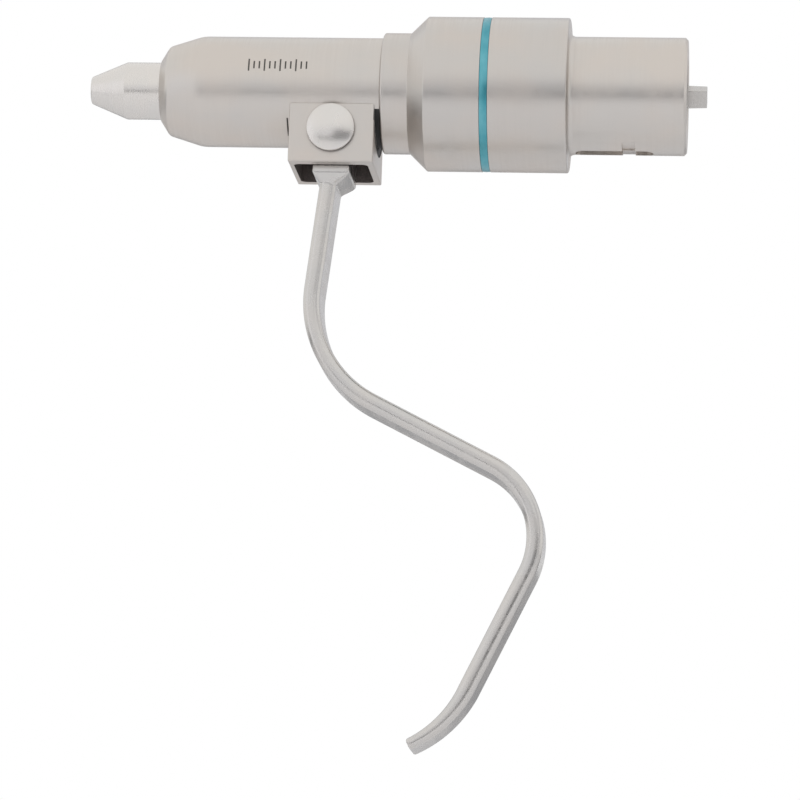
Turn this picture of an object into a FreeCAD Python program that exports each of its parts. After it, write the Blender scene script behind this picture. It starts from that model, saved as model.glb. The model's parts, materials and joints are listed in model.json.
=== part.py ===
import FreeCAD, Part
import math
import os
import re
import Sketcher

# Lever-operated wire and pin driver attachment for a surgical power drill, in millimetres.
# X runs along the barrel. The seat face of the housing is at x = 0, the wire nose points to -X,
# the coupling shank to +X, and the squeeze lever hangs down along -Z.

V = FreeCAD.Vector

SIZES = {
    # Rear housing, from the seat face forwards
    "big_length": 27.0,
    "big_radius": 14.8,
    "big_edge": 0.45,
    "chamfer_length": 3.3,
    "collar_length": 5.2,
    "collar_radius": 11.6,
    "collar_edge": 0.7,
    "band_setback": 14.9,
    "band_width": 1.5,
    "band_depth": 0.9,
    # Front barrel
    "barrel_length": 42.8,
    "barrel_radius": 10.6,
    "mouth_radius": 6.1,
    "shoulder_length": 1.6,
    "shoulder_radius": 8.6,
    "shoulder_round": 1.0,
    "taper_length": 6.4,
    "taper_round": 6.0,
    "spigot_length": 5.0,
    "spigot_radius": 9.5,
    "main_bore_radius": 8.4,
    "lip_length": 1.5,
    # Nose cap, which turns with the spindle
    "nose_cylinder_length": 6.8,
    "nose_radius": 5.5,
    "nose_cone_length": 6.9,
    "nose_tip_radius": 2.6,
    "nose_edge": 0.35,
    "nose_clearance": 0.15,
    "wire_bore_radius": 1.1,
    "wire_wall": 1.2,
    "jaw_cone_angle": 13.0,
    "jaw_cone_mouth": 1.3,
    "nose_thread_radius": 4.2,
    "nose_thread_length": 6.0,
    # Jaws, drawn gripping the thinnest wire
    "jaw_length": 9.0,
    "jaw_grip_radius": 0.38,
    "jaw_sector": 106.0,
    "jaw_clearance": 0.04,
    "jaw_front_gap": 0.25,
    "tail_neck_length": 1.0,
    "tail_neck_width": 1.2,
    "tail_width": 2.2,
    "tail_thickness": 0.9,
    "tail_inner": 1.0,
    "tail_outer": 3.0,
    # Push tube and its head
    "push_radius": 1.9,
    "push_bore_radius": 1.15,
    "push_head_radius": 3.2,
    "push_head_length": 3.2,
    "push_tail": 3.0,
    "push_end_gap": 1.0,
    "slide_clearance": 0.05,
    # Spindle
    "spindle_radius": 3.0,
    "spindle_shoulder_radius": 4.5,
    "spindle_shoulder_length": 1.4,
    "spring_flange_radius": 6.2,
    "spring_flange_length": 1.3,
    "fit_clearance": 0.02,
    "cut_margin": 1.0,
    "join_depth": 0.2,
    # Ball bearings, all three alike
    "bearing_bore_radius": 3.5,
    "bearing_outer_radius": 7.0,
    "bearing_width": 5.0,
    "bearing_ball": 1.0,
    "race_depth": 0.35,
    "race_play": 0.04,
    "bearing_edge": 0.25,
    # Seals, circlips, sleeves and washers
    "seal_width": 1.5,
    "seal_lip_gap": 0.05,
    "front_sleeve_length": 9.3,
    "front_sleeve_gap": 0.5,
    "sleeve_wall": 1.0,
    "nose_spacer_length": 3.0,
    "circlip_thickness": 0.8,
    "circlip_reach": 0.45,
    "circlip_inside": 0.75,
    "circlip_land": 0.6,
    "circlip_half_opening": 1.6,
    "web_thickness": 0.9,
    "seat_shoulder": 0.8,
    "washer_thickness": 0.6,
    "rear_sleeve_lead": 3.0,
    "rear_sleeve_tail": 2.0,
    # Coupling shank
    "coupling_length": 22.5,
    "coupling_radius": 11.25,
    "coupling_edge": 0.5,
    "coupling_foot": 1.2,
    "coupling_spigot_length": 10.0,
    "coupling_spigot_radius": 9.0,
    "rear_bearing_setback": 4.5,
    "rear_seal_setback": 1.6,
    "key_start": 1.4,
    "key_end": 16.2,
    "key_width": 3.2,
    "key_depth": 1.3,
    "key_land": 0.8,
    "notch_start": 10.3,
    "notch_end": 12.8,
    "notch_depth": 1.05,
    "packing_setback": 2.4,
    "packing_groove_width": 1.5,
    "packing_radius": 0.55,
    # Drive shaft
    "socket_radius": 4.5,
    "socket_length": 8.0,
    "socket_overlap": 7.5,
    "journal_edge": 0.5,
    "tang_side": 3.6,
    "tang_turn": 31.0,
    "tang_length": 3.7,
    "tang_setback": 1.0,
    "tang_shrink": 0.12,
    "drive_pin_radius": 0.8,
    "drive_pin_setback": 4.0,
    # Shift ring, thrust balls and thrust collar
    "ring_radius": 5.4,
    "ring_bore_radius": 3.2,
    "ring_groove_radius": 4.3,
    "ring_groove_width": 2.5,
    "ring_front_flange": 2.4,
    "ring_rear_flange": 1.0,
    "thrust_ball": 0.75,
    "thrust_pitch": 4.3,
    "thrust_play": 0.02,
    "collar_plate_radius": 6.6,
    "collar_plate_length": 2.4,
    "collar_plate_bore": 3.1,
    "key_pin_radius": 0.6,
    "key_pin_inner": 1.35,
    "key_pin_outer": 5.2,
    "key_slot_end_gap": 0.2,
    "key_slot_side_gap": 0.05,
    # Return spring
    "spring_radius": 5.2,
    "spring_wire": 0.45,
    "spring_turns": 4.0,
    "spring_end_gap": 0.03,
    # Lever bracket below the barrel
    "pivot_setback": 9.1,
    "pivot_drop": 9.2,
    "bracket_ahead": 8.0,
    "bracket_behind": 8.2,
    "bracket_half_width": 9.8,
    "bracket_bottom": 15.8,
    "bracket_top": 4.5,
    "bracket_front_wall": 0.9,
    "bracket_rear_wall": 1.2,
    "bracket_edge": 0.35,
    "pocket_half_width": 7.5,
    "fork_slot_top": 3.0,
    "pocket_round": 1.2,
    # Pivot screw and bush
    "screw_head_radius": 4.6,
    "screw_head_rim": 1.0,
    "screw_head_dome": 1.05,
    "screw_head_break": 0.15,
    "screw_radius": 2.0,
    "screw_slot_width": 0.8,
    "screw_slot_depth": 0.9,
    "bush_wall": 0.65,
    "running_clearance": 0.05,
    # Lever head and fork
    "head_half_width": 7.0,
    "head_radius": 3.55,
    "head_bottom": 17.4,
    "head_edge": 0.6,
    "flare_length": 1.9,
    "flare_inset": 0.75,
    "flare_edge": 0.4,
    "fork_gap_half": 5.65,
    "fork_width": 4.0,
    "fork_pin_radius": 1.2,
    "fork_pin_reach": 1.05,
    "half_swing": 9.0,
    # Lever bar: straight, bend, straight, bend, straight, bend; angles from straight down
    "bar_thickness": 3.2,
    "bar_width": 12.0,
    "bar_edge": 0.6,
    "bar_start_depth": 15.2,
    "bar_start_shift": 0.2,
    "neck_angle": 6.4,
    "neck_length": 23.9,
    "knee_radius": 21.8,
    "slope_angle": 63.4,
    "slope_length": 25.6,
    "elbow_radius": 15.5,
    "grip_angle": 25.5,
    "grip_length": 24.2,
    "toe_radius": 22.6,
    "toe_angle": 64.5,
    "toe_round": 0.9,
}

BALLS_IN_BEARING = 8
BALLS_IN_THRUST_RACE = 9
JAWS = 3

# Places along the axis, and other sizes that follow from the driving ones
PLACES = {
    "chamfer_front": "-big_length - chamfer_length",
    "barrel_rear": "chamfer_front - collar_length",
    "barrel_front": "barrel_rear - barrel_length",
    "spigot_rear": "barrel_rear + spigot_length",
    "nose_corner": "barrel_front - nose_cylinder_length",
    "nose_tip": "nose_corner - nose_cone_length",
    "band_rear": "-band_setback",
    "band_front": "band_rear - band_width",
    "throw": "2 * pivot_drop * sin(half_swing)",
    "pivot_place": "barrel_rear - pivot_setback",
    "pin_place": "pivot_place + pivot_drop * sin(half_swing)",
    "pin_height": "-pivot_drop + pivot_drop * cos(half_swing)",
    "seal_front": "barrel_front + lip_length",
    "front_sleeve_front": "seal_front + seal_width",
    "front_bearing_front": "front_sleeve_front + front_sleeve_length",
    "front_bearing_rear": "front_bearing_front + bearing_width",
    "main_bore_front": "front_bearing_rear + circlip_thickness + fit_clearance + circlip_land",
    "nose_rear": "front_bearing_front - nose_spacer_length",
    "spindle_front": "nose_rear - nose_thread_length",
    "flange_front": "front_bearing_rear + spindle_shoulder_length",
    "flange_rear": "flange_front + spring_flange_length",
    "cavity_front": "nose_tip + wire_wall",
    "cavity_rear": "cavity_front + (nose_thread_radius - jaw_cone_mouth) / tan(jaw_cone_angle)",
    "jaw_front": "cavity_front + jaw_front_gap",
    "jaw_rear": "jaw_front + jaw_length",
    "jaw_rear_open": "jaw_rear + throw",
    "push_front": "jaw_rear_open + slide_clearance",
    "push_head_rear": "push_front + push_head_length",
    "ring_front": "pin_place - ring_groove_width / 2 - ring_front_flange",
    "ring_rear": "pin_place + ring_groove_width / 2 + ring_rear_flange",
    "plate_rear": "ring_front - 2 * (thrust_ball + thrust_play)",
    "plate_front": "plate_rear - collar_plate_length",
    "key_pin_place": "(plate_front + plate_rear) / 2",
    "push_rear": "key_pin_place + push_tail",
    "push_bore_rear": "push_rear + push_end_gap",
    "washer_front": "spigot_rear + web_thickness",
    "mid_bearing_front": "washer_front + washer_thickness",
    "mid_bearing_rear": "mid_bearing_front + bearing_width",
    "rear_sleeve_front": "mid_bearing_front - rear_sleeve_lead",
    "rear_sleeve_rear": "mid_bearing_rear + rear_sleeve_tail",
    "spindle_rear": "rear_sleeve_rear + socket_overlap",
    "socket_rear": "rear_sleeve_rear + socket_length",
    "drive_pin_place": "rear_sleeve_rear + drive_pin_setback",
    "coupling_front": "-coupling_spigot_length",
    "rear_bearing_rear": "coupling_length - rear_bearing_setback",
    "rear_bearing_front": "rear_bearing_rear - bearing_width",
    "rear_seal_rear": "coupling_length - rear_seal_setback",
    "rear_seal_front": "rear_seal_rear - seal_width",
    "tang_front": "coupling_length - tang_setback",
    "shaft_end": "coupling_length + tang_length",
    "bush_radius": "screw_radius + running_clearance + bush_wall",
    "seat_radius": "bearing_outer_radius + fit_clearance",
    "bore_fit": "bearing_bore_radius - fit_clearance",
    "shoulder_bore": "bearing_outer_radius - seat_shoulder",
    "bearing_pitch": "(bearing_outer_radius + bearing_bore_radius) / 2",
    "race_gap": "bearing_ball - race_depth",
    "outer_race": "bearing_pitch + race_gap",
    "inner_race": "bearing_pitch - race_gap",
    "bracket_front": "pivot_place - bracket_ahead",
    "bracket_rear": "pivot_place + bracket_behind",
    "pocket_front": "bracket_front + bracket_front_wall",
    "pocket_rear": "bracket_rear - bracket_rear_wall",
    "bar_start": "pivot_place - bar_start_shift",
    "flare_bottom": "head_bottom + flare_length",
    "flare_shift": "(flare_bottom - bar_start_depth) * tan(neck_angle)",
}

WORD = re.compile(r"[a-z][a-z_]*")

# How near a place must be, in millimetres, to count as the same
CLOSE = 0.01


def formula(text):
    """Write a size, a place or a sum of them as an expression on the sheet."""
    def swap(match):
        word = match.group()
        if word in PLACES:
            return "(" + formula(PLACES[word]) + ")"
        return "Sizes." + word if word in SIZES else word
    return WORD.sub(swap, str(text))


def make_sheet(doc):
    """Put every driving size in the sheet, one named cell for each."""
    sheet = doc.addObject("Spreadsheet::Sheet", "Sizes")
    for row, (name, size) in enumerate(SIZES.items(), start=1):
        sheet.set("A%d" % row, name)
        sheet.set("B%d" % row, str(size))
        sheet.setAlias("B%d" % row, name)
    doc.recompute()
    return sheet


doc = FreeCAD.newDocument("WireDriver")
sheet = make_sheet(doc)
rule = doc.addObject("App::FeaturePython", "Rule")
parts = []


def value(text):
    """Work out a size or place as a number."""
    return float(rule.evalExpression(formula(text)))


def bind(thing, name, text):
    """Tie one property of a feature to the sheet."""
    thing.setExpression(name, formula(text))


def new_body(label):
    """Start a sub-part as a body of its own."""
    body = doc.addObject("PartDesign::Body", label)
    body.Label = label
    parts.append(body)
    return body


def sketch_on(body, role, name, lift=None):
    """Put a sketch on one of the body's own planes, lifted off it where asked."""
    sketch = body.newObject("Sketcher::SketchObject", name)
    plane = next(item for item in body.Origin.OriginFeatures if item.Role == role)
    sketch.AttachmentSupport = [(plane, "")]
    sketch.MapMode = "FlatFace"
    if lift is not None:
        bind(sketch, "AttachmentOffset.Base.z", lift)
    return sketch


def arc_between(start, end, radius, side):
    """Make the short arc between two points, with its centre left (1) or right (-1) of the way."""
    chord = end - start
    left = V(-chord.y, chord.x, 0).normalize()
    rise = math.sqrt(max(radius ** 2 - chord.Length ** 2 / 4, 0))
    centre = (start + end) / 2 + left * rise * side
    first, last = (start, end) if side > 0 else (end, start)
    angles = [math.atan2(spot.y - centre.y, spot.x - centre.x) for spot in (first, last)]
    return Part.ArcOfCircle(Part.Circle(centre, V(0, 0, 1), radius), angles[0], angles[1])


def ends_of(side):
    """Sketch numbers of the first and last point, which swap on an arc that turns clockwise."""
    return (1, 2) if side > 0 else (2, 1)


def fix_point(sketch, index, end, x, y):
    """Tie one end of a line or arc to its place."""
    for kind, text, axis in (("DistanceX", x, -2), ("DistanceY", y, -1)):
        if text == "0":
            sketch.addConstraint(Sketcher.Constraint("PointOnObject", index, end, axis))
            continue
        number = sketch.addConstraint(Sketcher.Constraint(kind, index, end, value(text)))
        bind(sketch, "Constraints[%d]" % number, text)


def draw(sketch, corners):
    """Draw a closed outline. A corner is (x, y), or (x, y, radius, side) where an arc follows it."""
    spots = [V(value(corner[0]), value(corner[1]), 0) for corner in corners]
    ends = []
    for index, corner in enumerate(corners):
        start, end = spots[index], spots[(index + 1) % len(spots)]
        if len(corner) == 2:
            sketch.addGeometry(Part.LineSegment(start, end), False)
            ends.append(ends_of(1))
        else:
            sketch.addGeometry(arc_between(start, end, value(corner[2]), corner[3]), False)
            ends.append(ends_of(corner[3]))
            number = sketch.addConstraint(Sketcher.Constraint("Radius", index, value(corner[2])))
            bind(sketch, "Constraints[%d]" % number, corner[2])
    for index, corner in enumerate(corners):
        before = index - 1 if index else len(corners) - 1
        meet = Sketcher.Constraint("Coincident", before, ends[before][1], index, ends[index][0])
        sketch.addConstraint(meet)
        fix_point(sketch, index, ends[index][0], corner[0], corner[1])


def turned(label, corners, sector=None):
    """Turn an outline of (x, radius) corners about the axis of the barrel."""
    body = new_body(label)
    sketch = sketch_on(body, "XY_Plane", label + "_outline")
    draw(sketch, corners)
    turn = body.newObject("PartDesign::Revolution", label + "_turned")
    turn.Profile = sketch
    turn.ReferenceAxis = (sketch, ["H_Axis"])
    if sector:
        turn.Midplane = True
        bind(turn, "Angle", sector)
    return body


def tube(label, front, rear, inside, outside):
    """Turn a plain tube or ring."""
    return turned(label, [(front, inside), (rear, inside), (rear, outside), (front, outside)])


def box(body, kind, name, low, high):
    """Add or cut a box between two corners."""
    feature = body.newObject("PartDesign::" + kind + "Box", name)
    for size, axis, start, end in zip(("Length", "Width", "Height"), "xyz", low, high):
        bind(feature, size, "(%s) - (%s)" % (end, start))
        bind(feature, "Placement.Base." + axis, start)
    return feature


ALONG_X = FreeCAD.Rotation(V(0, 1, 0), 90)
ALONG_Y = FreeCAD.Rotation(V(1, 0, 0), -90)
ALONG_Z = FreeCAD.Rotation()


def rod(body, kind, name, start, radius, length, turn):
    """Add or cut a cylinder from a start point along one axis."""
    feature = body.newObject("PartDesign::" + kind + "Cylinder", name)
    feature.Placement = FreeCAD.Placement(V(0, 0, 0), turn)
    bind(feature, "Radius", radius)
    bind(feature, "Height", length)
    for axis, text in zip("xyz", start):
        bind(feature, "Placement.Base." + axis, text)
    return feature


def around(body, name, originals, count):
    """Repeat features evenly about the axis of the barrel."""
    pattern = body.newObject("PartDesign::PolarPattern", name)
    pattern.Originals = originals
    axis = next(item for item in body.Origin.OriginFeatures if item.Role == "X_Axis")
    pattern.Axis = (axis, [""])
    pattern.Angle = 360
    pattern.Occurrences = count
    body.Tip = pattern
    return pattern


def soften(body, name, radius, chosen, kind="Fillet"):
    """Round or chamfer the edges of the body's last feature that a test chooses."""
    doc.recompute()
    base = body.Tip
    names = ["Edge%d" % number for number, edge in enumerate(base.Shape.Edges, start=1) if chosen(edge)]
    feature = body.newObject("PartDesign::" + kind, name)
    feature.Base = (base, names)
    bind(feature, "Radius" if kind == "Fillet" else "Size", radius)
    return feature


def on_circle(x, radius):
    """Choose the edges that lie on a circle about the axis."""
    place, reach = value(x), value(radius)

    def chosen(edge):
        ends = [edge.valueAt(edge.FirstParameter), edge.valueAt(edge.LastParameter)]
        return all(abs(end.x - place) < CLOSE and abs(math.hypot(end.y, end.z) - reach) < CLOSE for end in ends)
    return chosen


# Rear housing and its colour band

def make_rear_housing():
    body = turned("rear_housing", [
        ("barrel_rear", "spigot_radius + fit_clearance"),
        ("barrel_rear", "collar_radius - collar_edge"),
        ("barrel_rear + collar_edge", "collar_radius"),
        ("chamfer_front", "collar_radius"),
        ("-big_length", "big_radius"),
        ("band_front", "big_radius"),
        ("band_front", "big_radius - band_depth"),
        ("band_rear", "big_radius - band_depth"),
        ("band_rear", "big_radius"),
        ("-big_edge", "big_radius"),
        ("0", "big_radius - big_edge"),
        ("0", "coupling_spigot_radius + fit_clearance"),
        ("coupling_front", "coupling_spigot_radius + fit_clearance"),
        ("coupling_front", "seat_radius"),
        ("washer_front", "seat_radius"),
        ("washer_front", "shoulder_bore"),
        ("spigot_rear", "shoulder_bore"),
        ("spigot_rear", "spigot_radius + fit_clearance"),
    ])
    soften(body, "collar_front_round", "collar_edge / 3", on_circle("barrel_rear + collar_edge", "collar_radius"))


def make_colour_band():
    tube("colour_band", "band_front", "band_rear", "big_radius - band_depth", "big_radius")


# Front barrel with the slot for the fork of the lever

def make_front_barrel():
    body = turned("front_barrel", [
        ("barrel_front", "nose_radius + nose_clearance"),
        ("barrel_front", "mouth_radius"),
        ("barrel_front + shoulder_length", "shoulder_radius"),
        ("barrel_front + shoulder_length + taper_length", "barrel_radius"),
        ("barrel_rear", "barrel_radius"),
        ("barrel_rear", "spigot_radius"),
        ("spigot_rear", "spigot_radius"),
        ("spigot_rear", "main_bore_radius"),
        ("main_bore_front", "main_bore_radius"),
        ("main_bore_front", "seat_radius"),
        ("front_bearing_rear + circlip_thickness + fit_clearance", "seat_radius"),
        ("front_bearing_rear + circlip_thickness + fit_clearance", "seat_radius + circlip_reach"),
        ("front_bearing_rear", "seat_radius + circlip_reach"),
        ("front_bearing_rear", "seat_radius"),
        ("seal_front", "seat_radius"),
        ("seal_front", "nose_radius + nose_clearance"),
    ])
    soften(body, "shoulder_round_edge", "shoulder_round",
           on_circle("barrel_front + shoulder_length", "shoulder_radius"))
    soften(body, "taper_round_edge", "taper_round",
           on_circle("barrel_front + shoulder_length + taper_length", "barrel_radius"))
    box(body, "Subtractive", "fork_slot",
        ("pocket_front", "-pocket_half_width", "-barrel_radius - cut_margin"),
        ("pocket_rear", "pocket_half_width", "-fork_slot_top"))
    rod(body, "Subtractive", "screw_passage", ("pivot_place", "-barrel_radius", "-pivot_drop"),
        "screw_radius + fit_clearance", "2 * barrel_radius", ALONG_Y)


# Bracket that holds the lever, brazed under the barrel

def make_lever_bracket():
    body = new_body("lever_bracket")
    box(body, "Additive", "bracket_block",
        ("bracket_front", "-bracket_half_width", "-bracket_bottom"),
        ("bracket_rear", "bracket_half_width", "-bracket_top"))
    low, high = value("-bracket_bottom"), value("-bracket_top")
    soften(body, "bracket_edges", "bracket_edge", lambda edge: edge.BoundBox.ZMin < high - CLOSE)
    box(body, "Subtractive", "bracket_pocket",
        ("pocket_front", "-pocket_half_width", "-bracket_bottom - cut_margin"),
        ("pocket_rear", "pocket_half_width", "0"))
    wide = value("pocket_half_width")

    def pocket_corner(edge):
        middle = edge.CenterOfMass
        upright = abs(edge.BoundBox.ZLength - (high - low)) < CLOSE
        return upright and abs(abs(middle.y) - wide) < CLOSE

    soften(body, "pocket_corners", "pocket_round", pocket_corner)
    rod(body, "Subtractive", "barrel_seat", ("bracket_front - cut_margin", "0", "0"),
        "barrel_radius + fit_clearance", "bracket_ahead + bracket_behind + 2 * cut_margin", ALONG_X)
    rod(body, "Subtractive", "screw_hole", ("pivot_place", "-bracket_half_width - cut_margin", "-pivot_drop"),
        "screw_radius + fit_clearance", "2 * (bracket_half_width + cut_margin)", ALONG_Y)


# Pivot screw with its domed head on the near side, and the bush in the lever

def make_pivot_screw():
    body = new_body("pivot_screw")
    sketch = sketch_on(body, "YZ_Plane", "screw_outline")
    rim = "-bracket_half_width - screw_head_rim"
    draw(sketch, [
        ("bracket_half_width", "0"),
        ("bracket_half_width", "screw_radius"),
        ("-bracket_half_width", "screw_radius"),
        ("-bracket_half_width", "screw_head_radius - screw_head_break"),
        ("-bracket_half_width - screw_head_break", "screw_head_radius"),
        (rim, "screw_head_radius", "(screw_head_radius ^ 2 + screw_head_dome ^ 2) / (2 * screw_head_dome)", 1),
        (rim + " - screw_head_dome", "0"),
    ])
    turn = body.newObject("PartDesign::Revolution", "screw_turned")
    turn.Profile = sketch
    turn.ReferenceAxis = (sketch, ["H_Axis"])
    box(body, "Subtractive", "screw_slot",
        ("-screw_slot_width / 2", "bracket_half_width - screw_slot_depth", "-screw_radius - cut_margin"),
        ("screw_slot_width / 2", "bracket_half_width + cut_margin", "screw_radius + cut_margin"))
    bind(body, "Placement.Base.x", "pivot_place")
    bind(body, "Placement.Base.z", "-pivot_drop")


def make_pivot_bush():
    body = new_body("pivot_bush")
    rod(body, "Additive", "bush_body", ("pivot_place", "-head_half_width", "-pivot_drop"),
        "bush_radius", "2 * head_half_width", ALONG_Y)
    rod(body, "Subtractive", "bush_bore", ("pivot_place", "-head_half_width - cut_margin", "-pivot_drop"),
        "screw_radius + running_clearance", "2 * (head_half_width + cut_margin)", ALONG_Y)


# Lever: head with a fork above the pivot, and the bent bar below

def bar_steps():
    """Straights and bends of the bar: names of length or radius, and of the angle after it."""
    return [("line", "neck_length"), ("arc", "knee_radius", "-neck_angle", "slope_angle"),
            ("line", "slope_length"), ("arc", "elbow_radius", "slope_angle", "-grip_angle"),
            ("line", "grip_length"), ("arc", "toe_radius", "-grip_angle", "-toe_angle")]


def draw_bar_path(sketch):
    """Draw the bar's centre line: tangent straights and bends, each with its own dimension."""
    spot = V(value("bar_start"), value("-bar_start_depth"), 0)
    heading = value("-neck_angle")
    before = None
    for index, step in enumerate(bar_steps()):
        way = V(math.sin(math.radians(heading)), -math.cos(math.radians(heading)), 0)
        ends = ends_of(1)
        if step[0] == "line":
            finish = spot + way * value(step[1])
            sketch.addGeometry(Part.LineSegment(spot, finish), False)
            number = sketch.addConstraint(Sketcher.Constraint("Distance", index, value(step[1])))
        else:
            radius, turn = value(step[1]), value(step[3]) - heading
            left = V(-way.y, way.x, 0) * (1 if turn > 0 else -1)
            centre = spot + left * radius
            arm = spot - centre
            angle = math.atan2(arm.y, arm.x)
            angles = sorted((angle, angle + math.radians(turn)))
            circle = Part.Circle(centre, V(0, 0, 1), radius)
            sketch.addGeometry(Part.ArcOfCircle(circle, angles[0], angles[1]), False)
            ends = ends_of(turn)
            end_angle = angle + math.radians(turn)
            finish = centre + V(math.cos(end_angle), math.sin(end_angle), 0) * radius
            number = sketch.addConstraint(Sketcher.Constraint("Radius", index, radius))
            heading = value(step[3])
        bind(sketch, "Constraints[%d]" % number, step[1])
        if before:
            sketch.addConstraint(Sketcher.Constraint("Tangent", index - 1, before[1], index, ends[0]))
        before = ends
        spot = finish
    fix_point(sketch, 0, 1, "bar_start", "-bar_start_depth")
    headings = ((0, "-neck_angle"), (2, "slope_angle"), (4, "-grip_angle"))
    for index, angle in headings:
        text = "%s - 90" % angle
        number = sketch.addConstraint(Sketcher.Constraint("Angle", index, math.radians(value(text))))
        bind(sketch, "Constraints[%d]" % number, text)
    end_x, end_z = bar_end()
    number = sketch.addConstraint(Sketcher.Constraint("DistanceX", 5, 1, value(end_x)))
    bind(sketch, "Constraints[%d]" % number, end_x)


def bar_end():
    """Place of the toe's end, as sums of what each straight and bend adds."""
    x, z = "bar_start", "-bar_start_depth"
    heading = "-neck_angle"
    for step in bar_steps():
        if step[0] == "line":
            x += " + %s * sin(%s)" % (step[1], heading)
            z += " - %s * cos(%s)" % (step[1], heading)
            continue
        sign = "+" if value(step[3]) > value(step[2]) else "-"
        x += " %s %s * (cos(%s) - cos(%s))" % (sign, step[1], step[2], step[3])
        z += " %s %s * (sin(%s) - sin(%s))" % (sign, step[1], step[2], step[3])
        heading = step[3]
    return x, z


def plate_outline(sketch, middle, half_thick, half_wide, edge):
    """Draw a rounded rectangle, across the bar or the foot of its head."""
    front, rear = "%s - %s" % (middle, half_thick), "%s + %s" % (middle, half_thick)
    draw(sketch, [
        (front, "%s - (%s)" % (edge, half_wide), edge, 1),
        ("%s + %s" % (front, edge), "-(%s)" % half_wide),
        ("%s - %s" % (rear, edge), "-(%s)" % half_wide, edge, 1),
        (rear, "%s - (%s)" % (edge, half_wide)),
        (rear, "%s - %s" % (half_wide, edge), edge, 1),
        ("%s - %s" % (rear, edge), half_wide),
        ("%s + %s" % (front, edge), half_wide, edge, 1),
        (front, "%s - %s" % (half_wide, edge)),
    ])


def make_flare(body):
    """Flare from the foot of the lever's head down to the bar."""
    foot = sketch_on(body, "XY_Plane", "flare_foot", "join_depth - head_bottom")
    plate_outline(foot, "pivot_place", "(head_radius - flare_inset)", "head_half_width - flare_inset", "flare_edge")
    end = sketch_on(body, "XY_Plane", "flare_end", "-flare_bottom")
    plate_outline(end, "(bar_start - flare_shift)", "(bar_thickness - join_depth) / 2",
                  "(bar_width - join_depth) / 2", "flare_edge")
    flare = body.newObject("PartDesign::AdditiveLoft", "lever_flare")
    flare.Profile = foot
    flare.Sections = [end]
    flare.Ruled = True


def make_lever():
    body = new_body("lever")
    half = "fork_width / 2"
    box(body, "Additive", "lever_head",
        ("pivot_place - head_radius", "-head_half_width", "-head_bottom"),
        ("pivot_place + head_radius", "head_half_width", "-pivot_drop"))
    bottom = value("-head_bottom")
    soften(body, "lever_head_edges", "head_edge", lambda edge: abs(edge.BoundBox.ZMax - bottom) < CLOSE)
    rod(body, "Additive", "lever_boss", ("pivot_place", "-head_half_width", "-pivot_drop"),
        "head_radius", "2 * head_half_width", ALONG_Y)
    side_x, side_z = half + " * cos(half_swing)", half + " * sin(half_swing)"
    arm_width = "head_half_width - fork_gap_half"
    for side, lift, start in (("near", "fork_gap_half", "-head_half_width"),
                              ("far", "-fork_gap_half", "fork_gap_half")):
        arm = sketch_on(body, "XZ_Plane", side + "_arm_outline", lift)
        draw(arm, [
            ("pivot_place - " + side_x, "-pivot_drop + " + side_z),
            ("pivot_place + " + side_x, "-pivot_drop - " + side_z),
            ("pin_place + " + side_x, "pin_height - " + side_z),
            ("pin_place - " + side_x, "pin_height + " + side_z),
        ])
        pad = body.newObject("PartDesign::Pad", side + "_fork_arm")
        pad.Profile = arm
        pad.Reversed = side == "far"
        bind(pad, "Length", arm_width)
        rod(body, "Additive", side + "_fork_end", ("pin_place", start, "pin_height"), half, arm_width, ALONG_Y)
    rod(body, "Subtractive", "bush_hole", ("pivot_place", "-head_half_width - cut_margin", "-pivot_drop"),
        "bush_radius + fit_clearance", "2 * (head_half_width + cut_margin)", ALONG_Y)
    rod(body, "Subtractive", "pin_holes", ("pin_place", "-head_half_width - cut_margin", "pin_height"),
        "fork_pin_radius + fit_clearance", "2 * (head_half_width + cut_margin)", ALONG_Y)
    make_flare(body)
    path = sketch_on(body, "XZ_Plane", "bar_path")
    draw_bar_path(path)
    section = sketch_on(body, "XY_Plane", "bar_section", "-bar_start_depth")
    plate_outline(section, "bar_start", "bar_thickness / 2", "bar_width / 2", "bar_edge")
    pipe = body.newObject("PartDesign::AdditivePipe", "lever_bar")
    pipe.Profile = section
    pipe.Spine = path
    pipe.Transition = "Transformed"
    end_x, end_z = (value(text) for text in bar_end())
    reach = value("bar_thickness") / 2 + CLOSE

    def toe_edge(edge):
        ends = [edge.valueAt(edge.FirstParameter), edge.valueAt(edge.LastParameter)]
        return all(math.hypot(end.x - end_x, end.z - end_z) < reach for end in ends)

    soften(body, "toe_edges", "toe_round", toe_edge)


def make_fork_pins():
    pins = []
    for number, side in enumerate(("-", ""), start=1):
        pin = doc.addObject("Part::Cylinder", "fork_pin_%d" % number)
        pin.Placement = FreeCAD.Placement(V(0, 0, 0), ALONG_Y)
        bind(pin, "Radius", "fork_pin_radius")
        bind(pin, "Height", "head_half_width - fork_gap_half + fork_pin_reach")
        bind(pin, "Placement.Base.x", "pin_place")
        start = "-head_half_width" if side else "fork_gap_half - fork_pin_reach"
        bind(pin, "Placement.Base.y", start)
        bind(pin, "Placement.Base.z", "pin_height")
        pins.append(pin)
    group("fork_pins", pins)


def group(label, members):
    """Keep several like solids together as one sub-part."""
    compound = doc.addObject("Part::Compound", label)
    compound.Label = label
    compound.Links = members
    parts.append(compound)


# Bearings

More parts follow.
